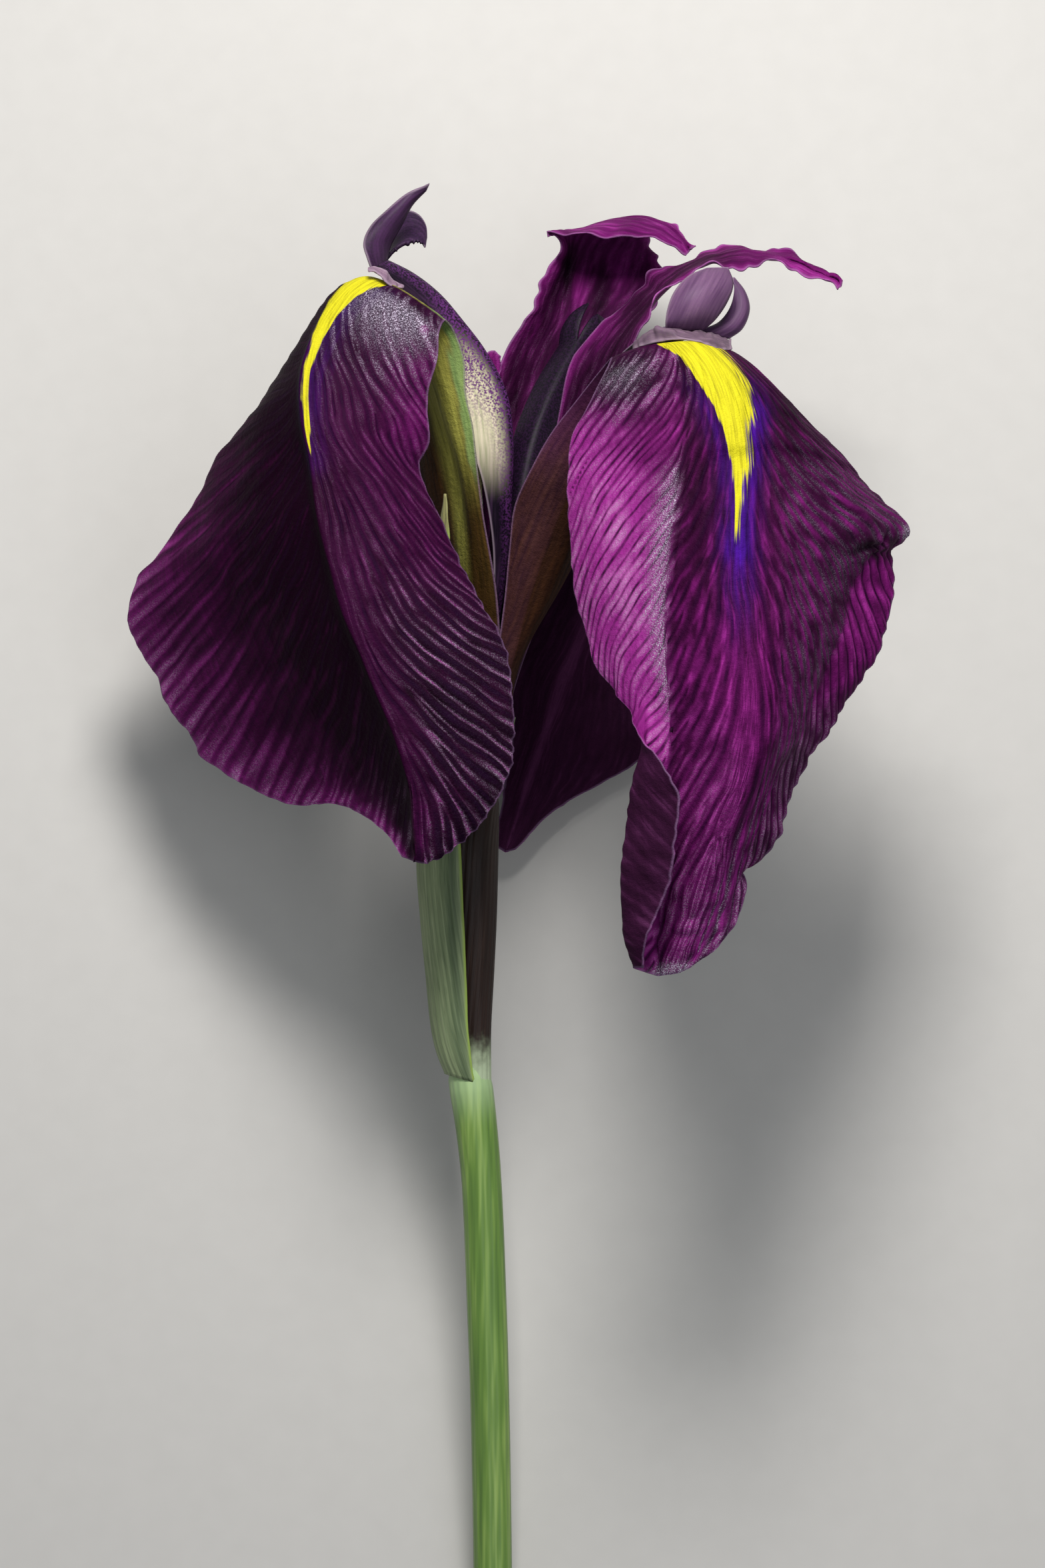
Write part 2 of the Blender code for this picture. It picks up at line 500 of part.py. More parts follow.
# Back standard: it leans back, and its top folds forward and trails off to the right.
standard(
    "standard_back",
    [
        ([ring_point(STANDARD_RING, 240), (-6.0, 8, -7.0), (-5.4, 26, -12.6), (-3.0, 41, -16.6),
          (-1.4, 46.6, -18.4)],
         [(0.5, 51, -20.2), (3.0, 56.6, -22.6), (4.6, 60.0, -23.6), (5.6, 63.2, -21.8),
          (9.2, 63.9, -20.0), (13.9, 63.2, -19.4), (17.4, 64.6, -19.8), (21.4, 63.4, -20.6),
          (24.6, 61.0, -21.8)]),
        ([ring_point(STANDARD_RING, 256), (-3.8, 8, -6.8), (-1.2, 26, -13.2), (2.6, 41, -19.6),
          (5.6, 48, -23.4)],
         [(7.4, 53, -26.0), (8.8, 58, -28.4), (10.2, 62.6, -29.2), (13.0, 65.4, -27.4),
          (17.4, 66.2, -25.2), (21.6, 64.8, -23.8), (25.2, 61.6, -22.6)]),
        ([ring_point(STANDARD_RING, 272), (-1.8, 8, -6.2), (2.8, 26, -12.4), (10.4, 41, -19.8),
          (15.8, 47.5, -24.2)],
         [(19.0, 52.5, -27.0), (20.8, 57.5, -29.4), (20.2, 61.0, -30.6), (18.8, 63.6, -30.4),
          (20.2, 65.2, -28.4), (23.0, 64.4, -25.8), (25.7, 62.2, -23.4)]),
    ],
    3.5,
    0.4,
)

# Right standard: a strap that rises behind the right haft and arches over the right crest.
standard(
    "standard_right",
    [
        ([ring_point(STANDARD_RING, 334), (0.2, 6, -2.2), (4.4, 24, -4.2), (6.4, 38, -6.8),
          (8.6, 46.4, -9.0)],
         [(14.7, 52.5, -10.2), (19.8, 57.5, -10.6), (25.3, 60.2, -10.0), (32.0, 61.6, -8.6),
          (37.8, 60.6, -6.6), (43.3, 58.2, -4.2), (46.0, 56.9, -2.8)]),
        ([ring_point(STANDARD_RING, 350), (0.6, 6, -1.2), (6.0, 24, -2.4), (9.9, 36.5, -3.8),
          (13.2, 44.6, -5.0)],
         [(16.6, 50.2, -5.4), (20.4, 55.0, -5.6), (26.0, 59.0, -5.4), (32.0, 60.6, -4.8),
          (38.0, 60.0, -3.6), (43.0, 57.9, -2.6), (46.3, 56.3, -2.0)]),
        ([ring_point(STANDARD_RING, 6), (0.8, 6, 0.2), (7.8, 24, 0.0), (13.0, 35.5, 0.0),
          (16.4, 44.2, -0.2)],
         [(17.8, 50.0, -0.2), (20.6, 54.4, -0.6), (25.2, 57.6, -1.0), (30.6, 58.6, -1.2),
          (35.0, 59.2, -1.4), (40.0, 58.6, -1.5), (46.0, 55.8, -1.4)]),
    ],
    4.5,
    1.1,
)

# Left standard: hidden behind the left style arm, with only the margin of its tip in sight.
standard(
    "standard_left",
    [
        ([ring_point(STANDARD_RING, 200), (-5.9, 6, -3.6), (-5.8, 15, -5.4), (-5.6, 25, -7.0)],
         [(-6.0, 34, -8.4), (-5.4, 41, -9.6), (-4.2, 46.0, -10.8)]),
        ([ring_point(STANDARD_RING, 209), (-5.4, 6, -4.4), (-5.0, 15, -6.4), (-4.6, 25, -8.6)],
         [(-4.8, 34, -10.2), (-4.2, 41.4, -11.2), (-3.2, 47.0, -11.8)]),
        ([ring_point(STANDARD_RING, 218), (-4.7, 6, -5.0), (-4.0, 15, -7.2), (-3.2, 25, -9.6)],
         [(-3.0, 34, -11.4), (-2.4, 41, -12.2), (-2.1, 46.4, -12.4)]),
    ],
    2.0,
    0.0,
    columns=4,
    top_rows=8,
)


ARM_ROWS = 16
LOBE_ROWS = 8
ARM_COLUMNS = 6


def style(name, arm, front_lobe, back_lobe):
    """A petal-like style arm whose end splits into two crest lobes, all one sheet.

    arm is three lines (one margin, the ridge, the other margin); each lobe is two lines, from
    the arm's end to the lobe's tip, and takes half of the arm's width.
    """
    lines = [even_steps(smooth_path(line), ARM_ROWS + 1) for line in arm]
    roof = across(lines, [0.0, 0.5, 1.0], ARM_COLUMNS)
    half = ARM_COLUMNS // 2
    grids = [roof]
    for lobe, columns in ((front_lobe, slice(0, half + 1)), (back_lobe, slice(half, None))):
        seam = roof[-1, columns]
        edges = [
            even_steps(smooth_path([start] + list(line)), LOBE_ROWS + 1)
            for start, line in ((seam[0], lobe[0]), (seam[-1], lobe[1]))
        ]
        share = np.linspace(0.0, 1.0, half + 1)[None, :, None]
        flat = edges[0][:, None] * (1 - share) + edges[1][:, None] * share
        rise = np.linspace(0.0, 1.0, LOBE_ROWS + 1)[:, None, None]
        bow = np.asarray(lobe[2]) * (4 * share * (1 - share)) * np.sin(np.pi * rise)
        settle = (1 - rise) ** 3 * (seam - flat[0])[None]
        grids.append(flat + settle + bow)
    return sheet(name, grids, CREST_THICKNESS, violet)


# Left style: its arm arches over the left haft; the crest stands above the yellow signal.
style(
    "style_left",
    [
        [ring_point(STYLE_RING, 132), (-3.4, 7, 2.2), (-2.9, 18, 3.0), (-4.0, 28, 4.0), (-5.2, 34, 4.6),
         (-6.0, 40, 4.8), (-7.8, 46, 5.0), (-10.4, 50.6, 5.2), (-13.4, 54.2, 5.6), (-16.2, 56.8, 6.6),
         (-18.6, 58.0, 8.2)],
        [ring_point(STYLE_RING, 170), (-2.6, 7, 0.5), (-1.0, 18, 0.8), (-0.4, 28, 1.1), (-0.3, 34, 1.3),
         (-1.2, 40.5, 1.5), (-4.1, 46.4, 1.9), (-7.4, 50.8, 2.4), (-10.6, 54.5, 3.0),
         (-14.2, 57.3, 3.6), (-18.6, 59.2, 4.0)],
        [ring_point(STYLE_RING, 208), (-3.5, 7, -1.3), (-2.9, 18, -1.8), (-3.9, 28, -2.2), (-5.0, 34, -2.4),
         (-5.8, 40, -2.6), (-7.8, 46, -2.8), (-10.6, 50.8, -2.8), (-13.8, 54.6, -2.6),
         (-16.8, 57.2, -2.0), (-19.2, 58.4, -1.0)],
    ],
    ([(-20.6, 59.8, 8.2), (-20.9, 62.4, 7.4), (-18.8, 65.8, 6.4), (-14.6, 68.6, 5.6), (-11.9, 70.0, 5.2)],
     [(-18.7, 61.4, 4.4), (-17.0, 64.4, 4.4), (-14.6, 67.0, 4.4), (-12.2, 69.0, 4.6)],
     (0.6, 0.0, 0.9)),
    ([(-17.6, 61.2, 2.6), (-16.4, 63.6, 2.0), (-14.2, 64.8, 1.6), (-12.5, 63.2, 1.4)],
     [(-19.2, 61.2, -1.8), (-17.6, 64.4, -2.0), (-14.6, 65.8, -1.8), (-12.3, 64.6, -1.0)],
     (-0.6, 0.4, 0.0)),
)

# Right style: its arm is hidden behind the right haft; two crest lobes stand over the signal.
style(
    "style_right",
    [
        [ring_point(STYLE_RING, 88), (-1.8, 7, 3.2), (0.9, 19, 5.0), (3.0, 27, 6.2), (5.8, 33.4, 8.2),
         (9.6, 39.4, 10.8), (13.6, 44.4, 13.6), (17.6, 47.8, 17.6), (21.2, 49.0, 20.8)],
        [ring_point(STYLE_RING, 50), (-1.1, 7, 1.8), (2.0, 19, 3.4), (4.6, 28, 5.2), (8.0, 35, 7.6),
         (12.0, 41.2, 10.4), (16.4, 46.2, 13.4), (21.2, 49.4, 16.4), (25.8, 49.4, 19.4)],
        [ring_point(STYLE_RING, 12), (-0.8, 7, 0.7), (3.6, 19, 1.6), (7.2, 28, 3.0), (11.0, 35, 5.4),
         (15.2, 41, 8.0), (19.8, 45.8, 11.2), (25.0, 48.2, 14.2), (30.2, 48.0, 17.0)],
    ],
    ([(21.4, 50.8, 21.6), (21.9, 53.2, 21.2), (23.2, 55.4, 20.2), (26.0, 57.4, 18.8)],
     [(27.6, 51.6, 20.2), (29.4, 54.0, 19.8), (30.2, 56.4, 19.0), (29.4, 57.8, 18.0)],
     (0.0, 0.0, 1.6)),
    ([(28.8, 50.6, 17.0), (30.8, 53.2, 15.8), (31.4, 55.6, 15.0), (30.8, 57.0, 14.4)],
     [(32.0, 49.4, 16.4), (33.0, 52.2, 15.2), (32.4, 54.8, 14.4), (31.2, 56.9, 13.6)],
     (0.4, 0.0, 0.6)),
)

# Back style: blue-purple, leaning back between the two standards, with a small pale crest.
style(
    "style_back",
    [
        [ring_point(STYLE_RING, 252), (-3.6, 6, -3.0), (-2.4, 19, -5.8), (-1.4, 28, -8.0),
         (0.4, 36, -11.0), (3.2, 42.6, -14.6), (6.4, 47.8, -18.4)],
        [ring_point(STYLE_RING, 290), (-2.6, 6, -2.2), (-0.2, 19, -4.0), (1.2, 28, -6.0),
         (3.2, 36, -8.8), (6.0, 43, -12.6), (9.0, 48.6, -16.4)],
        [ring_point(STYLE_RING, 328), (-1.4, 6, -2.8), (2.2, 19, -5.4), (4.0, 28, -7.6),
         (6.2, 36, -10.8), (9.2, 42.8, -14.6), (12.0, 47.6, -18.2)],
    ],
    ([(6.8, 50.2, -19.2), (8.2, 52.4, -19.6), (9.8, 53.6, -19.8)],
     [(9.4, 50.8, -17.6), (10.0, 52.6, -18.4), (10.6, 53.9, -19.2)],
     (0.0, 0.0, 0.4)),
    ([(10.0, 50.4, -17.4), (11.0, 51.8, -18.4), (11.8, 52.4, -19.2)],
     [(12.4, 49.4, -18.8), (12.8, 50.8, -19.4), (12.7, 51.8, -19.8)],
     (0.0, 0.0, 0.4)),
)


def stamen(name, azimuth, filament, anther):
    """A thin filament that carries a long anther, one rod with its radius growing at the anther."""
    path = smooth_path([ring_point(STAMEN_RING, azimuth)] + filament + anther, 3)
    stops = [0.0, 0.62, 0.68, 0.8, 0.96, 1.0]
    length = np.concatenate([[0.0], np.cumsum(np.linalg.norm(np.diff(path, axis=0), axis=1))])
    radii = np.interp(length / length[-1], stops, [0.45, 0.45, 0.95, 1.1, 0.9, 0.5])
    return rod(name, path, radii, cream, 1)


stamen("stamen_left", 170, [(-5.1, 6, 0.6), (-4.6, 17, 0.8), (-5.0, 27, 1.0)],
       [(-6.0, 33, 1.1), (-7.6, 39, 1.2), (-9.8, 45, 1.4)])
stamen("stamen_right", 50, [(-0.4, 6, 3.3), (3.2, 16, 5.2), (7.4, 26, 7.8)],
       [(10.6, 32.5, 10.4), (14.0, 38, 13.2), (17.6, 43, 16.4)])
stamen("stamen_back", 290, [(-1.7, 6, -4.8), (1.0, 16, -7.6), (3.2, 25, -10.2)],
       [(4.4, 29, -11.4), (5.8, 33.5, -13.2), (7.4, 37.6, -15.4)])
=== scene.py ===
# %% [markdown]
# An iris, cut and laid on its back.
#
# The flower is one bloom of a Japanese-type iris: three large hanging petals (falls), three small upright
# ones (standards), three petal-like style arms with crests, two bracts and a stem. Every petal is a thin
# curved sheet, so the lesson builds each as a grid of points worked out with numpy, and lets attributes on
# those points tell the material where veins, the yellow signal and the painted sheen of the velvet lie. First
# the imported model is loaded, which fixes the size and the place of all.

# %% Load the imported flower
import math
from functools import partial

import bmesh
import bpy
import numpy as np
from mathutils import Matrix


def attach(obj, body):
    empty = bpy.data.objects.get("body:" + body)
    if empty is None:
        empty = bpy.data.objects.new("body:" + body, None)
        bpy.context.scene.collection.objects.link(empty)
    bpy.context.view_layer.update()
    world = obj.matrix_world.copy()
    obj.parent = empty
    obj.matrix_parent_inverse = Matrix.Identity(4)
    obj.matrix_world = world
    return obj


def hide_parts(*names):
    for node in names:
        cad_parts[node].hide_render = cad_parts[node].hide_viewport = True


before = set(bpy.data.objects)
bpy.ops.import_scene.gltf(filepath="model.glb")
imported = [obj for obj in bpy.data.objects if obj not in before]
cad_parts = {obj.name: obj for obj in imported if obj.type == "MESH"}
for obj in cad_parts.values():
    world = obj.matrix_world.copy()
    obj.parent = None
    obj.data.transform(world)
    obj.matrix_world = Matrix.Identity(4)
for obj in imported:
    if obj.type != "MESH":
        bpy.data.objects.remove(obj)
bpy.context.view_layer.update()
print("nodes:", ", ".join(sorted(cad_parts)))

# %% [markdown]
# The petals are easiest to think of in the flower's own frame, in millimetres: X to the right,
# Y up along the stem, Z towards the viewer. The cut flower then lies tipped, with its head end
# raised a little, because it rests on the back fall and on the cut end of the stem.

# %% The flower's own frame
MM = 0.001
TIP_ANGLE = math.radians(12.4)
REST_SHIFT = (-0.3, 33.4, 32.6)


def to_world(points):
    """Points of the flower's frame in mm, turned by the tip angle about X, shifted, in metres."""
    x, y, z = np.moveaxis(np.asarray(points, float), -1, 0)
    cos, sin = math.cos(TIP_ANGLE), math.sin(TIP_ANGLE)
    turned = np.stack([x, y * cos - z * sin, y * sin + z * cos], axis=-1)
    return (turned + np.asarray(REST_SHIFT)) * MM


print("the flower's origin lies", REST_SHIFT[2], "mm above the surface")

# %% [markdown]
# The camera looks straight at the bloom, from far away with a long lens, so that a petal's outline
# is not stretched by nearness.

# %% Camera
VIEW_CENTRE = (1.2, -14.4)
VIEW_HEIGHT = 221.1
VIEW_DISTANCE = 2500.0
SENSOR = 24.0

lens = bpy.data.cameras.new("camera")
lens.sensor_fit = "VERTICAL"
lens.sensor_height = SENSOR
lens.lens = SENSOR * VIEW_DISTANCE / VIEW_HEIGHT
lens.clip_end = 20.0
camera = bpy.data.objects.new("camera", lens)
camera.location = to_world((*VIEW_CENTRE, VIEW_DISTANCE))
camera.rotation_euler = (TIP_ANGLE, 0.0, 0.0)
bpy.context.scene.collection.objects.link(camera)
bpy.context.scene.camera = camera
bpy.context.scene.view_settings.view_transform = "Standard"
print("lens of", round(lens.lens), "mm")

# %% [markdown]
# The light is that of a plain studio: one large soft key from beyond the flower's head and a weak
# fill from the stem's side. The key is close to the bloom, so that its shadows have soft edges.

# %% Lights
BLOOM = (0.0, 0.03, 0.04)


def area_light(name, place, size, power, colour):
    """A square soft box at a place in metres, turned towards the bloom."""
    box = bpy.data.lights.new(name, "AREA")
    box.size = size
    box.energy = power
    box.color = colour
    lamp = bpy.data.objects.new(name, box)
    lamp.location = place
    way = np.asarray(BLOOM) - np.asarray(place, float)
    flat = math.hypot(way[0], way[1])
    lamp.rotation_euler = (math.atan2(flat, -way[2]), 0.0, math.atan2(-way[0], way[1]))
    bpy.context.scene.collection.objects.link(lamp)
    print(name, "light", round(float(np.linalg.norm(way)), 2), "m from the bloom")


area_light("key", (0.01, 0.25, 0.33), 0.13, 1.75, (1.0, 0.98, 0.96))
area_light("fill", (0.20, -0.25, 0.62), 0.5, 1.0, (0.95, 0.97, 1.0))

# %% [markdown]
# Colours are written as the hex values one would pick from a screen. Blender's shaders want
# linear light, so one function converts them.

# %% Colours


def linear(code, alpha=1.0):
    """An sRGB hex colour as linear red, green, blue and alpha."""
    parts = [int(code[i : i + 2], 16) / 255 for i in (1, 3, 5)]
    return (*[c / 12.92 if c <= 0.04045 else ((c + 0.055) / 1.055) ** 2.4 for c in parts], alpha)


print("middle grey is", round(linear("#808080")[0], 3), "in linear light")

# %% [markdown]
# One small function adds a node, sets its values and makes its links. All the materials below are
# built with it. `new_material` hands it over bound to the new material's tree, so that a recipe
# reads as a list of steps, and `finish_skin` leads the last colour and the bump to the shader.

# %% Nodes and materials
OPTION = {"Math": "operation", "MapRange": "interpolation_type", "Mix": "data_type"}


def add_node(tree, kind, feeds=(), output=0, stops=(), **settings):
    """Adds a node, sets it, feeds it, and gives back one of its outputs, or all with output=None.

    kind is the node's type, with its option after a space. feeds holds the inputs in the node's
    own order, or by name or number: each is the socket that feeds it, a number or a hex colour.
    stops are the (place, hex) pairs of a colour ramp.
    """
    kind, _, option = kind.partition(" ")
    node = tree.nodes.new("ShaderNode" + kind)
    if option:
        settings[OPTION[kind]] = option
    for key, value in settings.items():
        setattr(node, key, value)
    for key, value in feeds.items() if isinstance(feeds, dict) else enumerate(feeds):
        if isinstance(value, bpy.types.NodeSocket):
            tree.links.new(value, node.inputs[key])
        else:
            node.inputs[key].default_value = linear(value) if isinstance(value, str) else value
    for number, (place, code) in enumerate(stops):
        band = node.color_ramp.elements
        stop = band[number] if number < 2 else band.new(place)
        stop.position, stop.color = place, linear(code)
    return node.outputs if output is None else node.outputs[output]


def new_material(name, roughness, specular=0.3):
    """A material with one Principled shader, and the function that adds nodes to it."""
    made = bpy.data.materials.new(name)
    made.use_nodes = True
    made.node_tree.nodes.clear()
    add = partial(add_node, made.node_tree)
    surface = add("BsdfPrincipled", {"Roughness": roughness, "Specular IOR Level": specular})
    add("OutputMaterial", {"Surface": surface}, output=None)
    return made, add


def finish_skin(made, colour, bump=None):
    """Leads the colour and the bump to the material's shader."""
    tree = made.node_tree
    tree.links.new(colour, tree.nodes["Principled BSDF"].inputs["Base Color"])
    if bump:
        tree.links.new(bump, tree.nodes["Principled BSDF"].inputs["Normal"])
    print(made.name, "has", len(tree.nodes), "nodes")
    return made

# %% [markdown]
# The floor is plain pale card: pressed wood fibres, matt all over, so that it throws soft light up
# into the petals and draws no eye. Its grain is 4 mm clouds, coarser than real fibres.

# %% Floor
FLOOR_GRAIN = 0.004
FLOOR_SIZE = 3.0

floor_skin, add = new_material("pale matt card", roughness=0.9)
fibres = add("TexNoise", {"Vector": add("TexCoord", output="Object"), "Scale": 1 / FLOOR_GRAIN})
finish_skin(floor_skin, add("ValToRGB", [fibres], stops=[(0.3, "#c3c1bd"), (0.7, "#c5c3bf")]))

floor_mesh = bpy.data.meshes.new("floor")
half = FLOOR_SIZE / 2
floor_mesh.from_pydata(
    [(-half, -half, 0), (half, -half, 0), (half, half, 0), (-half, half, 0)], [], [(0, 1, 2, 3)]
)
floor_mesh.materials.append(floor_skin)
floor = bpy.data.objects.new("floor", floor_mesh)
bpy.context.scene.collection.objects.link(floor)

# %% [markdown]
# The sky light is weak and a little blue, so that the key light makes the shadows and the sky
# only opens them.

# %% Daylight
DAYLIGHT = 0.3

world = bpy.data.worlds.new("daylight")
world.use_nodes = True
sky = world.node_tree.nodes["Background"]
sky.inputs["Color"].default_value = linear("#dfe4ea")
sky.inputs["Strength"].default_value = DAYLIGHT
bpy.context.scene.world = world
print("daylight strength", DAYLIGHT)

# %% [markdown]
# A petal's shape is told by a few lines that run from its foot to its tip: its two margins, its rib and the
# pages between. Each line is a smooth curve through given points. It could be a Bezier curve with handles,
# but cubic pieces need no handles, only the points.

# %% A smooth line through points


def slopes(points, step):
    """Slope of each piece between points, and at each point the mean of its two sides."""
    slope = np.diff(points, axis=0) / step
    tangent = np.empty_like(points)
    tangent[0], tangent[-1] = slope[0], slope[-1]
    tangent[1:-1] = (slope[:-1] * step[1:] + slope[1:] * step[:-1]) / (step[1:] + step[:-1])
    return slope, tangent


def cubic(share, step, low, high, leave, arrive):
    """Cubic pieces from low to high, whose slopes at their ends are leave and arrive."""
    return (
        (2 * share**3 - 3 * share**2 + 1) * low
        + (share**3 - 2 * share**2 + share) * step * leave
        + (3 * share**2 - 2 * share**3) * high
        + (share**3 - share**2) * step * arrive
    )


def smooth_path(points, parts=24):
    """A smooth curve through points: cubic pieces whose slope at a point is the mean of its sides."""
    place = np.asarray(points, float)
    step = np.sqrt(np.linalg.norm(np.diff(place, axis=0), axis=1))[:, None]
    tangent = slopes(place, step)[1]
    share = np.linspace(0.0, 1.0, parts, endpoint=False)[:, None, None]
    dense = cubic(share, step, place[:-1], place[1:], tangent[:-1], tangent[1:])
    return np.vstack([dense.transpose(1, 0, 2).reshape(-1, place.shape[1]), place[-1:]])


def lengths(path):
    """Length from the start of a path to each of its points."""
    return np.concatenate([[0.0], np.cumsum(np.linalg.norm(np.diff(path, axis=0), axis=1))])


def even_steps(path, count):
    """Points at even steps of length along a path."""
    length = lengths(path)
    wanted = np.linspace(0.0, length[-1], count)
    return np.stack([np.interp(wanted, length, path[:, axis]) for axis in range(path.shape[1])], axis=1)


print("three points give", len(smooth_path([(0, 0, 0), (1, 2, 0), (3, 2, 0)])))

# %% [markdown]
# A fall has two stretches: a narrow haft that climbs from the tube to the apex, and a broad blade
# that hangs from there. Each stretch gets its own number of rows, so that all the lines of a petal
# have their apex in the same row. `between` makes the lines of the pages from their neighbours.

# %% Lines of a petal
HAFT_ROWS = 36
BLADE_ROWS = 200
COLUMNS = 200


def two_stretches(haft, blade, haft_rows=HAFT_ROWS, blade_rows=BLADE_ROWS, parts=24):
    """One smooth line read at even steps up the haft to its apex, then down the blade."""
    path = smooth_path(list(haft) + list(blade), parts)
    apex = (len(haft) - 1) * parts
    up = even_steps(path[: apex + 1], haft_rows + 1)
    down = even_steps(path[apex:], blade_rows + 1)
    return np.vstack([up, down[1:]])


def between(line_a, line_b, lifts, share=0.5):
    """A line between two others, lifted by vectors spread evenly from base to tip."""
    stops = np.linspace(0.0, 1.0, len(lifts))
    rows = np.linspace(0.0, 1.0, len(line_a))
    lift = np.stack([np.interp(rows, stops, [v[axis] for v in lifts]) for axis in range(3)], axis=1)
    return line_a * (1 - share) + line_b * share + lift


print("a fall has", HAFT_ROWS + BLADE_ROWS, "rows of", COLUMNS, "faces")

# %% [markdown]
# The net joins the lines row by row, with smooth curves across. Where a petal is folded, a row has
# to turn sharply at the fold's line, so `across` can let it crease there, more or less per row.

# %% A net across the lines


def across(lines, places, columns, creases=None):
    """A net: each row runs smoothly (cubic pieces) across the lines, which lie at given places.

    creases maps a line's number to a share per row; there the row may turn sharply: the slope on
    each side becomes that of its own piece.
    """
    lines, place = np.asarray(lines), np.asarray(places, float)
    slope, tangent = slopes(lines, np.diff(place)[:, None, None])
    leave, arrive = tangent.copy(), tangent.copy()
    for line, share in (creases or {}).items():
        share = np.asarray(share)[:, None]
        arrive[line] += share * (slope[line - 1] - tangent[line])
        leave[line] += share * (slope[line] - tangent[line])
    wanted = np.linspace(place[0], place[-1], columns + 1)
    piece = np.clip(np.searchsorted(place, wanted + 1e-9, side="right") - 1, 0, len(place) - 2)
    width = place[piece + 1] - place[piece]
    share, width = ((wanted - place[piece]) / width)[:, None, None], width[:, None, None]
    net = cubic(share, width, lines[piece], lines[piece + 1], leave[piece], arrive[piece + 1])
    return net.transpose(1, 0, 2).copy()


def unit(vectors):
    """Vectors of length one."""
    return vectors / np.maximum(np.linalg.norm(vectors, axis=-1, keepdims=True), 1e-9)


def normals(net):
    """Unit normals of a net: the cross product of its slopes along and across."""
    return unit(np.cross(np.gradient(net, axis=0), np.gradient(net, axis=1)))


print("each row of a fall has", COLUMNS + 1, "points")

# %% [markdown]
# Most of what changes over a petal changes softly, so nearly every mask below is one of three: a
# smooth step, a round patch or the distance to an outline.

# %% Soft masks


def rise(low, high, value):
    """A smooth step from 0 at low to 1 at high; with low above high it falls instead."""
    share = np.clip((np.asarray(value, float) - low) / (high - low), 0.0, 1.0)
    return share * share * (3 - 2 * share)


def bell(distance, width):
    """1 at no distance, falling to 1/e at the width: exp(-(distance / width) ** 2)."""
    return np.exp(-((distance / width) ** 2))


def spot(points, x, y, width, height):
    """A soft round patch seen from the front: 1 in its middle, fading outwards."""
    return np.exp(-(((points[..., 0] - x) / width) ** 2) - ((points[..., 1] - y) / height) ** 2)


def outline_distance(points, outline):
    """Millimetres from each point to a closed outline seen from the front, positive inside it."""
    x, y = points[..., 0], points[..., 1]
    nearest = np.full(x.shape, np.inf)
    inside = np.zeros(x.shape, bool)
    corners = np.asarray(outline, float)
    for (ax, ay), (bx, by) in zip(corners, np.roll(corners, -1, axis=0)):
        length = (bx - ax) ** 2 + (by - ay) ** 2
        share = np.clip(((x - ax) * (bx - ax) + (y - ay) * (by - ay)) / length, 0.0, 1.0)
        nearest = np.minimum(nearest, np.hypot(x - ax - share * (bx - ax), y - ay - share * (by - ay)))
        if ay != by:
            inside ^= ((ay > y) != (by > y)) & (x < (bx - ax) * (y - ay) / (by - ay) + ax)
    return np.where(inside, nearest, -nearest)


print("half-way up a step the value is", float(rise(0, 1, 0.5)))

# %% [markdown]
# Real petals are never regular. `wander` gives smooth random hills, the same ones each run: it
# draws a table of random heights with a fixed seed and eases between neighbours.

# %% Random hills
TABLE = 64


def wander(x, y, seed):
    """Smooth random hills from -1 to 1: random heights at whole numbers, eased between them."""
    heights = np.random.default_rng(seed).uniform(-1.0, 1.0, (TABLE, TABLE))
    column, row = np.floor(x).astype(int), np.floor(y).astype(int)
    over, up = x - column, y - row
    over, up = over * over * (3 - 2 * over), up * up * (3 - 2 * up)

    def corner(dx, dy):
        return heights[(row + dy) % TABLE, (column + dx) % TABLE]

    low = corner(0, 0) * (1 - over) + corner(1, 0) * over
    high = corner(0, 1) * (1 - over) + corner(1, 1) * over
    return low * (1 - up) + high * up


print("hills repeat after", TABLE, "cells")

# %% [markdown]
# Iris veins enter the petal side by side at its foot. On the blade they leave the rib one after
# another and curve out to the margin, like the barbs of a feather, and they fork wherever they
# drift apart. `PetalMap` works that out on the net. `way` stays the same along a vein and counts
# veins across them, and `spread` says how many millimetres one count covers at each point. The
# material uses both: it draws a vein at each whole count, and forks where there is room for them.

# %% A petal's own coordinates
COUNT = 10.0


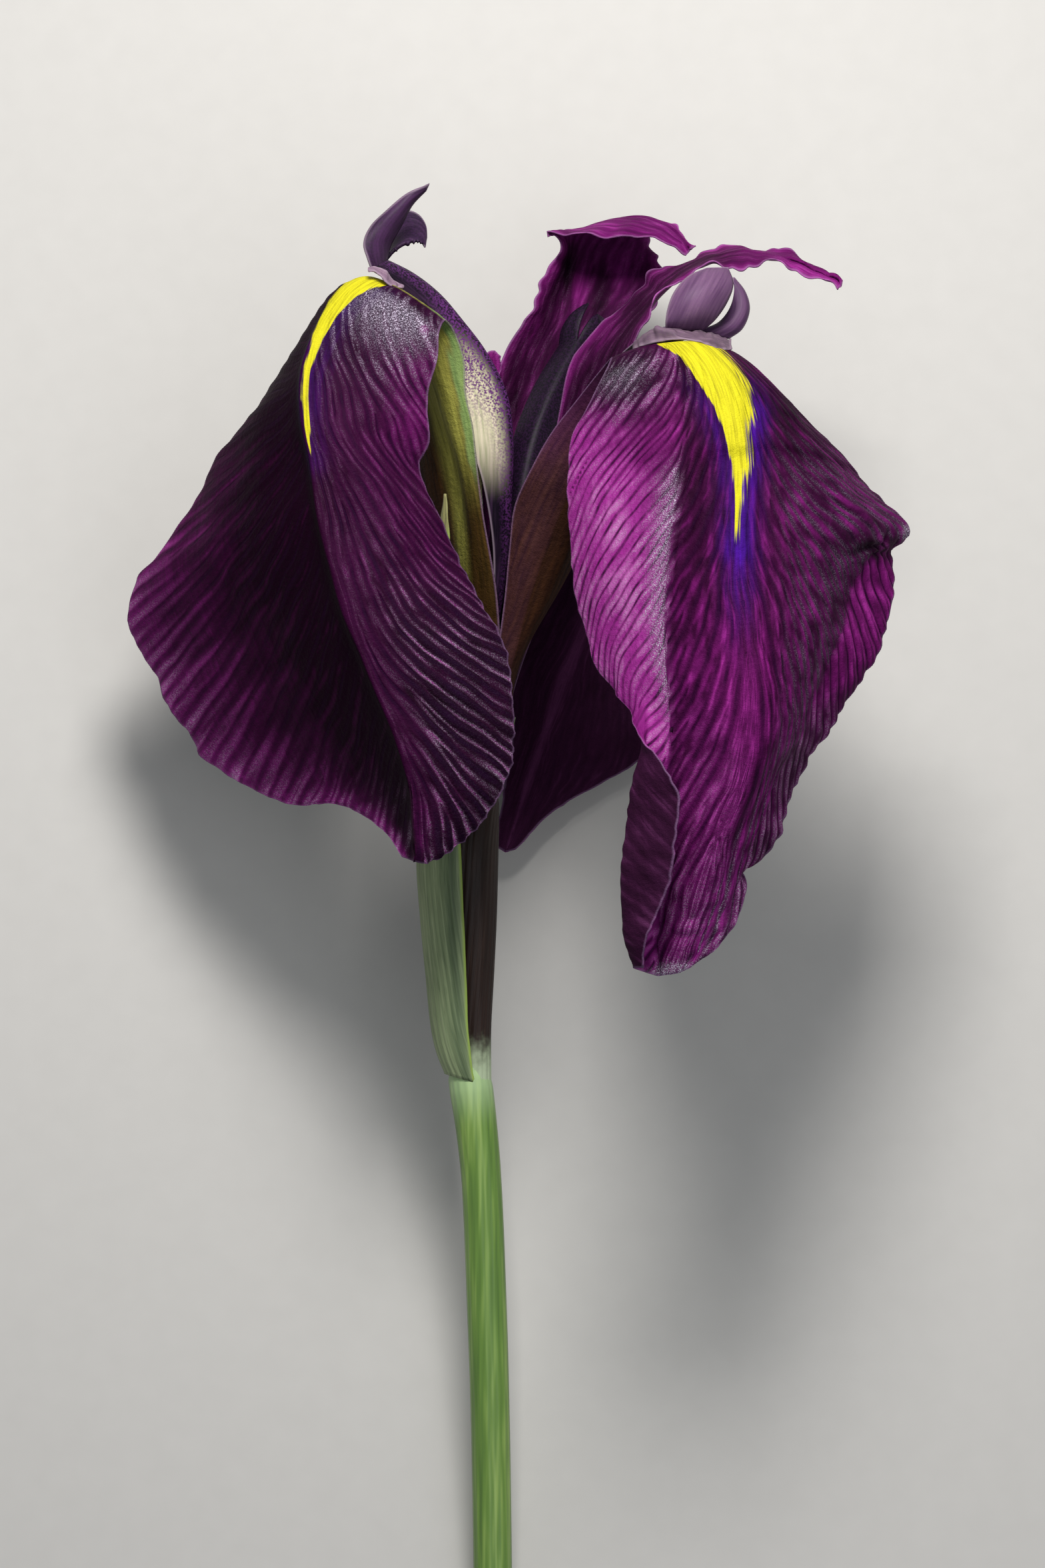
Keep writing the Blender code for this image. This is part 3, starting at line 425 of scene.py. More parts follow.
class PetalMap:
    """Where each point of a petal's net lies, in millimetres and in counts of veins."""

    def __init__(self, net, haft_rows, rib_place=0.5):
        """Lengths over the net from its rib and foot, side from -1 to 1 and blade from 0 to 1."""
        rows, columns = net.shape[:2]
        flat = np.ones((rows, columns))
        place = np.linspace(0.0, 1.0, columns)[None, :]
        rib = int(round(rib_place * (columns - 1)))
        steps = np.linalg.norm(np.diff(net, axis=1), axis=2)
        over = np.concatenate([np.zeros((rows, 1)), np.cumsum(steps, axis=1)], axis=1)
        self.net = net
        self.over = over - over[:, rib : rib + 1]
        along = lengths(net[:, rib])
        self.along = along[:, None] * flat
        side = (place - rib_place) / np.where(place < rib_place, rib_place, 1 - rib_place)
        self.side = side * flat
        reach = np.where(self.side < 0, -self.over[:, :1], self.over[:, -1:])
        row = np.arange(rows)[:, None]
        self.blade = np.clip((row - haft_rows) / (rows - 1 - haft_rows), 0.0, 1.0) * flat
        self.haft = np.clip(1 - row / haft_rows, 0.0, 1.0) * flat
        self.rim = np.minimum(reach * (1 - np.abs(self.side)), along[-1] - self.along + 0.01)
        self.set_way(COUNT * self.side)

    def set_way(self, way):
        """Keep way, and spread = 1 / (length of its slope), by the net's own metric.

        The veins then drift by up to half a millimetre, as they do in a real petal.
        """
        down, across_net = np.gradient(self.net, axis=0), np.gradient(self.net, axis=1)
        slope_down, slope_across = np.gradient(way, axis=0), np.gradient(way, axis=1)
        dd, da, aa = (down**2).sum(2), (down * across_net).sum(2), (across_net**2).sum(2)
        steep = aa * slope_down**2 - 2 * da * slope_down * slope_across + dd * slope_across**2
        steep = steep / np.maximum(dd * aa - da**2, 1e-9)
        self.spread = np.clip(1 / np.sqrt(np.maximum(steep, 1e-6)), 0.02, 40.0)
        drift = 0.45 * wander(self.along / 7, self.over / 5, 3)
        drift = drift + 0.14 * wander(self.along / 2.2, self.over / 2.6, 4)
        self.way = way + drift / np.maximum(self.spread, 0.2)

    def feather(self, bend=0.25):
        """way = count * (run - |side| ** bend), with run = t * t / (t + 0.1) down the blade."""
        run = self.blade**2 / (self.blade + 0.1)
        return COUNT * (run - np.maximum(np.abs(self.side), 1e-4) ** bend)


print("the rib sends out", COUNT, "counts of veins")

# %% [markdown]
# Two places need another way. The left fall's far page spreads like a fan from the dome. On the
# right fall, veins turn where they cross a fold.

# %% Fans and turns


def fan(net, x, y, curl):
    """way as the angle about a point seen from the front, curled by the distance from it."""
    dx, dy = net[..., 0] - x, net[..., 1] - y
    return 0.65 * COUNT * (np.mod(np.arctan2(dy, dx), 2 * np.pi) + curl * np.hypot(dx, dy))


def turned(chart, way, column, slant, soft):
    """way past a fold line, where veins turn: at d mm beyond it, way is the fold's own value at
    slant * d + soft * (1 - exp(-d)) mm further up the fold."""
    beyond = np.maximum(chart.over[:, column : column + 1] - chart.over, 0.0)
    length = lengths(chart.net[:, column])
    length = length - length[HAFT_ROWS]
    met = length[:, None] - slant * beyond - soft * (1 - np.exp(-beyond))
    return np.interp(met, length[HAFT_ROWS:], way[HAFT_ROWS:, column]) + 0.12 * np.minimum(met, 0.0)


print("a fan has a count every", round(math.degrees(1 / (0.65 * COUNT)), 1), "degrees")

# %% [markdown]
# On the fine net the petal gets its relief. Ridges follow the veins every 1.5 to 2 mm, weak on the
# dome and strong near a folded margin: the tissue between two veins puffs up. The margins are
# crinkled: they wander in and out by a few tenths of a millimetre, and lift and dip.

# %% Relief of a petal
LOBE_STEP = 2.8
EDGE_WIDTH = 3.2


def quilting(chart, wavelength):
    """Soft ridges along the veins, a fixed number of millimetres apart: two octaves, cross-faded."""
    level = np.log2(np.maximum(chart.spread, 0.1) / wavelength)
    step = np.floor(level)
    share = level - step
    turn = 2 * np.pi * chart.way * 2**step
    return -(1 - share) * np.cos(turn) - share * np.cos(2 * turn)


def relief(net, chart, ridges, crinkle, seed, wavelength=2.0, lobes=0.0):
    """The net moved along its normals by ridges and hills, and its margins nudged out and in.

    The lift is ridges * quilting, plus low hills, plus a crimp that fades by exp(-rim / 3.2 mm). The
    nudge along the rows is a jag in tenths of a mm, with lobes of 2.8 mm as |sin|, faded alike.
    """
    along, sign = chart.along, np.sign(chart.side)
    edge = np.exp(-np.maximum(chart.rim, 0.0) / EDGE_WIDTH)
    outer = rise(0.25, 1.0, chart.blade * 4)
    pucker = quilting(chart, wavelength) * (0.75 + 0.6 * wander(along / 2.6, chart.way * 2, seed + 1))
    hills = wander(along / 7, chart.over / 6, seed + 2)
    crimp = wander(along / 1.7, sign * 7.3, seed + 3) + 0.8 * wander(along / 4.3, sign * 3.1, seed + 4)
    lift = ridges * pucker + 0.22 * hills * outer + crinkle * edge * crimp * outer
    jag = 0.16 * wander(along / 0.9, sign * 5.7, seed + 5) + 0.2 * wander(along / 2.3, sign * 9.2, seed + 6)
    turn = 2 * np.pi * along / LOBE_STEP + 3 * wander(along / 6, sign * 4.4, seed + 7)
    jag = jag + lobes * np.sqrt(np.sin(turn / 2) ** 2 + 0.04)
    nudge = sign * jag * edge**2 * outer
    return net + normals(net) * lift[..., None] + unit(np.gradient(net, axis=1)) * nudge[..., None]


def tuck_back(net, distance, depth, length):
    """The net pushed away from the viewer beside a fold: depth * d / (d + 0.3) * exp(-d / length)."""
    d = np.maximum(distance, 0.0)
    push = depth * d / (d + 0.3) * np.exp(-d / length)
    return net - push[..., None] * np.array([0.0, 0.0, 1.0])


print("margins are crinkled over", EDGE_WIDTH, "mm")

# %% [markdown]
# `sheet` turns nets into a mesh. The points go in as one array, the faces as another, and the
# numbers for the material go in as point attributes. Seams between nets are merged, and the faces
# are turned to the side that shows. No point lies lower than the surface that the flower rests on.

# %% Nets into one mesh
FLOOR_GAP = 0.12
SEAM = 0.005


def mesh_from_nets(name, nets, painted, thickness, face_up):
    """A mesh from nets that share their seams; painted holds the attributes of each net."""
    points, faces, start = [], [], 0
    for net in nets:
        rows, columns = net.shape[:2]
        index = np.arange(rows * columns).reshape(rows, columns) + start
        quads = np.stack([index[:-1, :-1], index[:-1, 1:], index[1:, 1:], index[1:, :-1]], axis=-1)
        faces.append(quads.reshape(-1, 4))
        placed = to_world(net).reshape(-1, 3)
        placed[:, 2] = np.maximum(placed[:, 2], (0.5 * thickness + FLOOR_GAP) * MM)
        points.append(placed)
        start += rows * columns
    mesh = bpy.data.meshes.new(name)
    mesh.from_pydata(np.concatenate(points), [], np.concatenate(faces))
    for key in painted[0]:
        values = np.concatenate([np.stack(list(p[key]), axis=-1).reshape(-1, 3) for p in painted])
        keep_numbers(mesh, key, values)
    turn_faces(mesh, face_up)
    return mesh


def keep_numbers(mesh, key, values):
    """Stores three numbers per point under a name that a material can read."""
    layer = mesh.attributes.new(key, "FLOAT_VECTOR", "POINT")
    layer.data.foreach_set("vector", values.astype(np.float32).ravel())


def turn_faces(mesh, face_up=None):
    """Faces of a closed form turn outwards; a sheet's seams merge and its faces turn up or down."""
    bm = bmesh.new()
    bm.from_mesh(mesh)
    if face_up is not None:
        bmesh.ops.remove_doubles(bm, verts=bm.verts, dist=SEAM * MM)
    bmesh.ops.recalc_face_normals(bm, faces=bm.faces)
    if face_up is not None:
        facing = sum((face.normal.z * face.calc_area() for face in bm.faces), 0.0)
        if (facing < 0) == face_up:
            bmesh.ops.reverse_faces(bm, faces=bm.faces)
    bm.to_mesh(mesh)
    bm.free()


print("nets keep", FLOOR_GAP, "mm off the surface")

# %% [markdown]
# A Solidify modifier then gives the petal its thickness, with a second material on its underside.
# A real petal thins out towards its margin, so a vertex group scales the wall there. Each finished
# piece rides on the flower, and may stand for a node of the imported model.

# %% Walls
WEIGHT_BINS = 12
THIN_WIDTH = 1.6
pieces = []


def settle(made, node):
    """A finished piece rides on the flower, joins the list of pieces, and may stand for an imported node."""
    bpy.context.scene.collection.objects.link(made)
    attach(made, "root")
    if node:
        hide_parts(node)
    pieces.append(made)
    print(made.name, len(made.data.vertices), "points")


def sheet(name, nets, painted, thickness, skins, node=None, thin=0.45, face_up=True):
    """A closed thin sheet; thin is the wall's share of its thickness at the margin."""
    mesh = mesh_from_nets(name, nets, painted, thickness, face_up)
    for skin in skins:
        mesh.materials.append(skin)
    mesh.shade_smooth()
    made = bpy.data.objects.new(name, mesh)
    margin = made.vertex_groups.new(name="wall")
    marks = np.zeros(len(mesh.vertices) * 3, np.float32)
    mesh.attributes["marks"].data.foreach_get("vector", marks)
    bins = np.rint(WEIGHT_BINS * rise(0.0, THIN_WIDTH, marks[1::3])).astype(int)
    for level in range(WEIGHT_BINS + 1):
        weight = thin + (1 - thin) * level / WEIGHT_BINS
        margin.add(np.flatnonzero(bins == level).tolist(), weight, "REPLACE")
    wall = made.modifiers.new("wall", "SOLIDIFY")
    wall.thickness = thickness * MM
    wall.offset = 0.0
    wall.vertex_group = "wall"
    wall.material_offset = len(skins) - 1
    settle(made, node)


print("walls thin out over", THIN_WIDTH, "mm in", WEIGHT_BINS, "steps")

# %% [markdown]
# The petal's skin is soft, watery tissue, magenta to purple, with darker veins. Its upper side is covered
# with tiny cone-shaped cells that scatter light: that gives the velvet look and the deep colour. The pale
# frosty sheen that these cells show on the domes, and their glints, are painted into the colour as painted
# sheen and painted highlights. The veins are drawn from `way` and `spread`, each round of forks only where it
# has room, and they are 0.14 to 0.44 mm wide.

# %% Where the veins run
VEIN_ROUNDS = 7
MAIN_VEINS = 8.0
FORK_ROOM = (1.5, 2.3)
VEIN_HALVES = (0.07, 0.22)


def vein_nearness(add, way, spread):
    """How far a point is from its nearest vein, in half widths of that vein.

    Main veins lie at every eighth count of way. Each round puts forks half-way between those
    before, and lets them in only where the gap in mm is wide enough; wider gaps have thicker veins.
    """
    nearest = None
    for turn in range(VEIN_ROUNDS):
        period = MAIN_VEINS / 2.0 ** max(turn - 1, 0)
        count = add("Math MULTIPLY_ADD", [way, 1 / period, 0.5 if turn else 0.0])
        offset = add("Math PINGPONG", [count, 0.5])
        gap = add("Math MULTIPLY", [spread, period])
        width = add("Math MULTIPLY_ADD", [gap, 0.025, VEIN_HALVES[0]])
        width = add("Math MINIMUM", [width, VEIN_HALVES[1]])
        ratio = add("Math DIVIDE", [add("Math MULTIPLY", [offset, gap]), width])
        if turn:
            absent = add("MapRange SMOOTHSTEP", [gap, *FORK_ROOM, 9.0, 0.0])
            ratio = add("Math MINIMUM", [nearest, add("Math ADD", [ratio, absent])])
        nearest = ratio
    return nearest


print("veins at least", FORK_ROOM[0] / 2, "mm apart")

# %% [markdown]
# Every skin reads the petal's own numbers from its points. Petals and leaves are streaked
# lengthwise, because their cells are long. Such a streak is noise over the millimetres across the
# petal and a small share of the millimetres along it.

# %% Numbers from the points, and streaks


def point_values(add, *keys):
    """The three numbers that each named point attribute holds, one list of sockets per attribute."""
    vectors = [add("Attribute", output="Vector", attribute_name=key) for key in keys]
    return [list(add("SeparateXYZ", [vector], output=None)) for vector in vectors]


def streaks(add, over, along, share, scale, detail):
    """Noise drawn out lengthwise: scale hills to a mm across, and share times as many along."""
    lengthwise = add("CombineXYZ", [over, add("Math MULTIPLY", [along, share])])
    return add("TexNoise", {"Vector": lengthwise, "Scale": scale, "Detail": detail})


print("a noise hill of 1.3 to the mm is", round(1 / 1.3, 1), "mm wide")

# %% [markdown]
# The skin mixes colours one over the other, from the flesh outwards. First come the flesh by its tone, then
# the green and olive of the haft and its dark brown, which is partly painted shade, then the veins. The
# tissue between two veins puffs up: its crests are painted lighter and the grooves beside the veins darker,
# as painted light and shade of that relief, broken in cells 3.3 mm long. Each layer's share is a point
# attribute times a pattern. Clouds of 8 mm and patches of 3.5 mm break the evenness.

# %% Flesh and veins
CLOUD = 8.0 * MM
PATCH = 3.5 * MM
CELL_LENGTH = 3.3
# the dark brown pair is partly the hafts' own colour and partly painted shade
HAFT_COLOURS = (("#5c7340", "#84995a"), ("#66642a", "#9b9848"), ("#1c1009", "#442a13"))


def petal_flesh(add, stops, vein_colour, vein_share):
    """Flesh, haft colours and veins: the colour, and the veins, nearness, streak and cells."""
    place = add("TexCoord", output="Object")
    (way, along, over), (_, _, spread), (tone, _, _) = point_values(add, "flow", "marks", "paint")
    haft_shares, (strength, _, depth) = point_values(add, "haft", "extra")

    nearness = vein_nearness(add, way, spread)
    patches = add("TexNoise", {"Vector": place, "Scale": 1 / PATCH, "Detail": 3.0})
    patchy = add("MapRange", [patches, 0.35, 0.65, 0.3, 1.0])
    core = add("MapRange SMOOTHSTEP", [nearness, 0.4, 1.7, 1.0, 0.0])
    veins = add("Math MULTIPLY", [core, patchy])
    veins = add("Math MULTIPLY", [veins, strength])
    veins = add("Math MULTIPLY", [veins, vein_share])

    streak = streaks(add, over, along, 0.12, 1.3, 2.0)
    cells = streaks(add, add("Math MULTIPLY", [way, 4.0]), along, 1 / CELL_LENGTH, 1.0, 1.0)
    cloud = add("TexNoise", {"Vector": place, "Scale": 1 / CLOUD, "Detail": 2.0})
    broken = add("MapRange", [cells, 0.34, 0.66, 0.1, 1.8])
    # painted light and shade of the relief: crests lighter, grooves beside the veins darker
    crest_light_and_shade = add("MapRange SMOOTHSTEP", [nearness, 0.8, 4.2, -0.5, 0.5])
    crest_light_and_shade = add("Math MULTIPLY", [crest_light_and_shade, broken])
    grain = add("MapRange", [depth, 0.02, 0.13, 0.22, 0.6])
    mottle = add("Math MULTIPLY_ADD", [streak, 0.2, tone])
    mottle = add("Math MULTIPLY_ADD", [add("Math SUBTRACT", [cells, 0.5]), grain, mottle])
    mottle = add("Math MULTIPLY_ADD", [cloud, 0.24, mottle])
    mottle = add("Math MULTIPLY_ADD", [crest_light_and_shade, depth, mottle])
    colour = add("ValToRGB", [add("Math SUBTRACT", [mottle, 0.22])], stops=stops)
    for share, (low, high) in zip(haft_shares, HAFT_COLOURS):
        flesh = add("ValToRGB", [streak], stops=[(0.25, low), (0.75, high)])
        colour = add("Mix RGBA", {0: share, 6: colour, 7: flesh}, 2)
    colour = add("Mix RGBA", {0: veins, 6: colour, 7: vein_colour}, 2)
    return colour, veins, nearness, streak, broken


print("clouds", round(CLOUD / MM), "mm, cells", CELL_LENGTH, "mm")

# %% [markdown]
# Over the flesh lie the violet halo round the signal, the pale painted sheen of the velvet with its painted
# glints, and the yellow signal, whose edge frays along the veins. The painted sheen is a stipple 0.16 mm
# wide, so that it shows: the real cells are a third of that.

# %% Halo, painted sheen and signal
STIPPLE = 0.16 * MM


def adorned(add, colour, nearness, streak, broken, dots, stipple):
    """The colour with the halo, the painted sheen of the velvet, its painted glints and the yellow signal
    laid over it.
    """
    (_, along, over), (signal, _, _) = point_values(add, "flow", "marks")
    (_, painted_sheen, halo), (_, grip, _) = point_values(add, "paint", "extra")
    violet = add("ValToRGB", [streak], stops=[(0.3, "#1c0538"), (0.75, "#481290")])
    colour = add("Mix RGBA", {0: halo, 6: colour, 7: violet}, 2)

    on_veins = add("MapRange SMOOTHSTEP", [nearness, 1.2, 3.4, 1.0, 0.0])
    on_crests = add("MapRange SMOOTHSTEP", [nearness, 1.2, 3.4, 0.0, 1.0])
    held = add("Math MULTIPLY", [add("Mix", {0: grip, 2: on_crests, 3: on_veins}), broken])
    covered = add("Math MAXIMUM", [held, add("MapRange", [painted_sheen, 0.3, 0.65, 0.05, 1.0])])
    # painted sheen: pale dots where the velvet's cells catch the light
    sheen_dots = add("Math MULTIPLY", [add("Math MULTIPLY", [painted_sheen, covered]), stipple])
    colour = add("Mix RGBA", {0: sheen_dots, 6: colour, 7: "#aaa0b2"}, 2)
    # painted glints: tiny highlights on the velvet's cells
    glint = add("MapRange SMOOTHSTEP", [dots, 0.64, 0.7])
    glint = add("Math MULTIPLY", [glint, add("MapRange", [painted_sheen, 0.1, 0.8, 0.0, 0.45])])
    glint = add("Math MULTIPLY", [glint, covered], use_clamp=True)
    colour = add("Mix RGBA", {0: glint, 6: colour, 7: "#dcc8dc"}, 2)

    fringe = streaks(add, over, along, 0.045, 3.2, 2.0)
    edge = add("Math MULTIPLY_ADD", [fringe, 3.2, signal])
    share = add("MapRange SMOOTHSTEP", [edge, 1.2, 2.1])
    yellow = add("ValToRGB", [fringe], stops=[(0.3, "#a39a1c"), (0.55, "#c8c022")])
    return add("Mix RGBA", {0: share, 6: colour, 7: yellow}, 2)


print("frost dots", round(STIPPLE / MM, 2), "mm wide")

# %% [markdown]
# Last comes a paler margin, a painted rim highlight along the petal's thin edge. Fine wrinkles of 0.7 mm, the
# stipple and the sunken veins give the bump. The skin is rough and hardly shines, like velvet. The underside
# has no such cells: it is duller and greyer, and its veins are fainter.

# %% Petal skins
WRINKLE = 0.7 * MM


def petal_skin(name, stops, vein_colour, decorated):
    """The petal's upper skin with its signal and painted sheen, or its plainer underside."""
    made, add = new_material(name, roughness=0.58, specular=0.03)
    place = add("TexCoord", output="Object")
    base = petal_flesh(add, stops, vein_colour, 1.0 if decorated else 0.5)
    colour, veins, nearness, streak, broken = base
    dots = add("TexNoise", {"Vector": place, "Scale": 1 / STIPPLE, "Detail": 1.0})
    stipple = add("MapRange SMOOTHSTEP", [dots, 0.46, 0.62, 0.12, 1.0])
    if decorated:
        colour = adorned(add, colour, nearness, streak, broken, dots, stipple)
    ((_, rim, _),) = point_values(add, "marks")
    # painted rim highlight: a pale line along the thin margin
    thin = add("MapRange SMOOTHSTEP", [rim, 0.05, 0.4, 0.28, 0.0])
    colour = add("Mix RGBA", {0: thin, 6: colour, 7: "#a781ad"}, 2)
    wrinkles = add("TexNoise", {"Vector": place, "Scale": 1 / WRINKLE, "Detail": 2.0})
    height = add("Math MULTIPLY_ADD", [stipple, 0.15, wrinkles])
    height = add("Math MULTIPLY_ADD", [veins, -0.8, height])
    bump = add("Bump", {"Height": height, "Distance": 0.18 * MM, "Strength": 0.9})
    return finish_skin(made, colour, bump)


petal_top = petal_skin(
    "velvety iris petal",
    [(0.0, "#170213"), (0.25, "#370830"), (0.5, "#65145a"), (0.75, "#972c88"), (1.0, "#cb78bd")],
    "#1d0420",
    decorated=True,
)
petal_back = petal_skin(
    "dull petal underside",
    [(0.0, "#14060f"), (0.4, "#361430"), (0.75, "#582a50"), (1.0, "#774870")],
    "#220c24",
    decorated=False,
)
petal_skins = [petal_top, petal_back]

# %% [markdown]
# What the material needs to know of a petal's points goes with them in one dictionary: the way, the lengths
# and the spread of its veins, its signal, tone, painted sheen and halo, and its haft's colours.

# %% A petal's attributes


def petal_paint(chart, tone, painted_sheen, strength, depth, signal=-9.0, halo=0.0, haft=(0, 0, 0), grip=0.0):
    """Attributes of a petal. strength says how dark its veins are: they are fainter on the haft and right
    beside the rib, where they crowd. depth is how much lighter the crests and darker the grooves beside the
    veins are painted: painted light and shade of the relief."""
    none = 0 * chart.way
    fading = rise(0.01, 0.08, np.abs(chart.side)) * np.where(chart.blade > 0, 1.0, 0.25)
    return {
        "flow": (chart.way, chart.along, chart.over),
        "marks": (signal + none, chart.rim, chart.spread),
        "paint": (tone + none, painted_sheen + none, halo + none),
        "haft": [share + none for share in haft],
        "extra": (strength * fading, grip + none, depth + none),
    }


print("a petal's points carry", 5 * 3, "numbers each")

# %% [markdown]
# All petals, styles and stamens start on rings round the top of the tube, the falls on the widest.

# %% Where petals start
TUBE_TOP = (-4.3, -5.0)
SEAT_GAP = 0.4
FALL_RING = 3.8


def ring_point(radius, azimuth):
    """A point on the tube's top: the azimuth turns from +X towards the viewer."""
    turn = math.radians(azimuth)
    return (TUBE_TOP[0] + radius * math.cos(turn), TUBE_TOP[1] + SEAT_GAP, radius * math.sin(turn))


print("the tube's top is at", TUBE_TOP, "mm")

# %% [markdown]
# The left fall hangs at the left, arched over its haft like a hood. Its right page is folded
# forward, so its lower margin shows strong quilting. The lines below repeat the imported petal's
# lines, so the fine petal lies where the plain one does. Only its net is finer.

# %% Left fall: its margins and its rib
left_front = two_stretches(
    [ring_point(FALL_RING, 132), (-2.4, 3, 4.4), (-2.3, 11, 5.4), (-4.4, 24, 6.0), (-5.3, 31.4, 6.4),
     (-5.8, 36.0, 6.7), (-6.8, 40.4, 6.9), (-7.0, 45.2, 7.5), (-8.4, 49.2, 8.4), (-9.6, 50.7, 10.0)],
    [(-10.5, 49, 11.6), (-10.7, 45.5, 12.4), (-12.1, 40, 12.8), (-12.0, 33.5, 12.6),
     (-13.2, 30.5, 12.4), (-12.6, 27.5, 12.6), (-10.6, 23.5, 13.2), (-8.0, 17.2, 14.2),
     (-5.0, 11.8, 15.4), (-2.8, 7.6, 16.4), (-0.8, 3.0, 17.2), (-0.1, -1.5, 17.8), (0.1, -7, 18.2),
     (-0.6, -12.4, 18.6), (-2.6, -16.8, 19.2), (-5.2, -20.6, 19.8), (-8.2, -23.2, 20.6),
     (-10.8, -25.0, 21.4)],
)
left_rib = two_stretches(
    [ring_point(FALL_RING, 170), (-7.2, 4, 1.0), (-6.8, 12, 1.2), (-7.0, 20, 1.6), (-7.3, 26, 1.9),
     (-8.5, 32, 2.4), (-10.4, 38, 3.0), (-12.2, 44, 3.8), (-14.2, 49, 4.6), (-17.0, 54.0, 5.6),
     (-20.0, 56.7, 6.8)],
    [(-23.2, 55.5, 8.8), (-25.9, 52.5, 10.8), (-28.2, 48.5, 12.6), (-29.6, 43, 14.6),
     (-29.7, 37, 16.8), (-28.6, 31, 18.8), (-27.2, 22.5, 21.2), (-25.3, 15.1, 22.8),
     (-22.4, 6, 24.0), (-19.0, -2, 24.6), (-16.2, -8.5, 24.6), (-14.7, -14.5, 24.2),
     (-14.2, -20, 23.4), (-13.8, -25.3, 22.4)],
)
left_back = two_stretches(
    [ring_point(FALL_RING, 208), (-7.0, 4, -2.8), (-7.6, 12, -3.8), (-10.4, 20, -5.4), (-13.3, 27, -6.6),
     (-14.3, 35, -7.2), (-13.7, 42, -7.6), (-15.4, 49, -7.6), (-18.2, 52.6, -6.8), (-21.0, 53.6, -5.6)],
    [(-26.0, 52.3, -3.6), (-30.0, 47.2, -2.4), (-33.6, 42.4, -2.6), (-37.0, 37.5, -3.2),
     (-41.0, 33.3, -4.6), (-44.0, 28.0, -6.4), (-47.6, 21.8, -8.6), (-50.3, 17.8, -10.0),
     (-53.3, 14.6, -11.6), (-54.6, 10.5, -12.2), (-53.9, 6.0, -11.8), (-50.6, 0.3, -10.2),
     (-48.6, -3.8, -8.6), (-46.0, -6.9, -7.2), (-44.4, -10.2, -6.0), (-40.8, -12.8, -4.0),
     (-36.4, -15.4, -0.6), (-30.7, -17.3, 4.0), (-25.0, -17.1, 9.5), (-20.4, -19.2, 14.5),
     (-17.2, -22.2, 18.5), (-15.6, -24.6, 21.0)],
)
print("the left rib is", round(lengths(left_rib)[-1]), "mm long")

# %% [markdown]
# Each page bulges between its two lines. The rows turn sharply at the rib, but not near the apex,
# where the hood is round.

# %% Left fall: its pages and its net
left_front_page = between(
    left_rib, left_front,
    [(0, 0, 0), (-0.8, 1.0, 0.8), (-1.2, 1.3, 0.8), (-1.0, 1.0, 1.2), (-0.4, 1.2, 3.6), (0, 0.4, 3.0),
     (0, 0, 2.2), (0, 0, 2.0), (0, 0, 1.6), (0, 0, 1.0), (0, -0.4, 0.4)],
)
left_back_page = between(
    left_rib, left_back,
    [(0, 0, 0), (-0.6, 0, -0.2), (-0.6, 0, -0.2), (-0.4, 0.4, 0), (0, 0.4, 1.0), (0, 0, 1.0),
     (0, 0, -1.0), (0, 0, -2.0), (0, 0, -2.0), (0, 0, -1.0), (0, 0, 0)],
)
LEFT_RIB = 0.42
CREASE_BLADE = np.clip((np.arange(HAFT_ROWS + BLADE_ROWS + 1) - HAFT_ROWS) / BLADE_ROWS, 0, 1)
CREASE_ROWS = rise(0.06, 0.2, CREASE_BLADE)
left_lines = [left_front, left_front_page, left_rib, left_back_page, left_back]
left_net = across(left_lines, [0, 0.22, LEFT_RIB, 0.7, 1], COLUMNS, {2: CREASE_ROWS})
print("left net", left_net.shape)

# %% [markdown]
# Its near page is feathered, with veins that lean more towards the margin further down. Its far
# page spreads like a fan. The far page is pushed back beside the rib, so that the rib's fold
# stands out against it.

# %% Left fall: its veins
left_chart = PetalMap(left_net, HAFT_ROWS, LEFT_RIB)
on_left = left_chart.side > 0
left_bend = 0.25 - 0.18 * rise(0.3, 0.7, left_chart.blade) - 0.12 * rise(0.24, 0.06, left_chart.blade)
feathered = left_chart.feather(left_bend)
radiating = fan(left_net, -22.0, 48.0, 0.0044)
left_chart.set_way(np.where(on_left & (left_chart.blade > 0), radiating, feathered))
left_net = tuck_back(left_net, left_chart.over * rise(0.05, 0.2, left_chart.blade), 2.4, 9.0)
print("veins", round(float(np.median(left_chart.spread)), 1), "mm to a count")

# %% [markdown]
# Soft masks name the parts of the petal, and the relief, the tone and the painted sheen below are sums of
# them. `strong` is the low part of the near page, whose quilting is the deepest.

# %% Left fall: its relief
place_y = left_net[..., 1]
on_haft = left_chart.blade <= 0
left_blade = rise(0.0, 0.04, left_chart.blade)
outward = np.abs(left_chart.side)
front_page = rise(0.03, -0.03, left_chart.side)
strong = front_page * rise(22.0, 0.0, place_y) * rise(-0.1, -0.5, left_chart.side)
left_chart.spread = left_chart.spread * (1 - 0.25 * on_left - 0.22 * strong)
left_ridges = (0.09 - 0.03 * front_page + 0.29 * strong) * left_blade * rise(0.04, 0.16, outward)
left_shape = relief(left_net, left_chart, left_ridges, 0.3, 11, 2.0 - 0.75 * strong)
print("ridges up to", round(float(left_ridges.max()), 2), "mm")

# %% [markdown]
# The signal is the yellow stripe that guides insects. It is given as an outline seen from the
# front, and each point stores its distance to it, so the material can fray the edge along the
# veins. It could be a curve with a width, but an outline fits both sides of the stripe. On the
# haft it narrows along the rib.

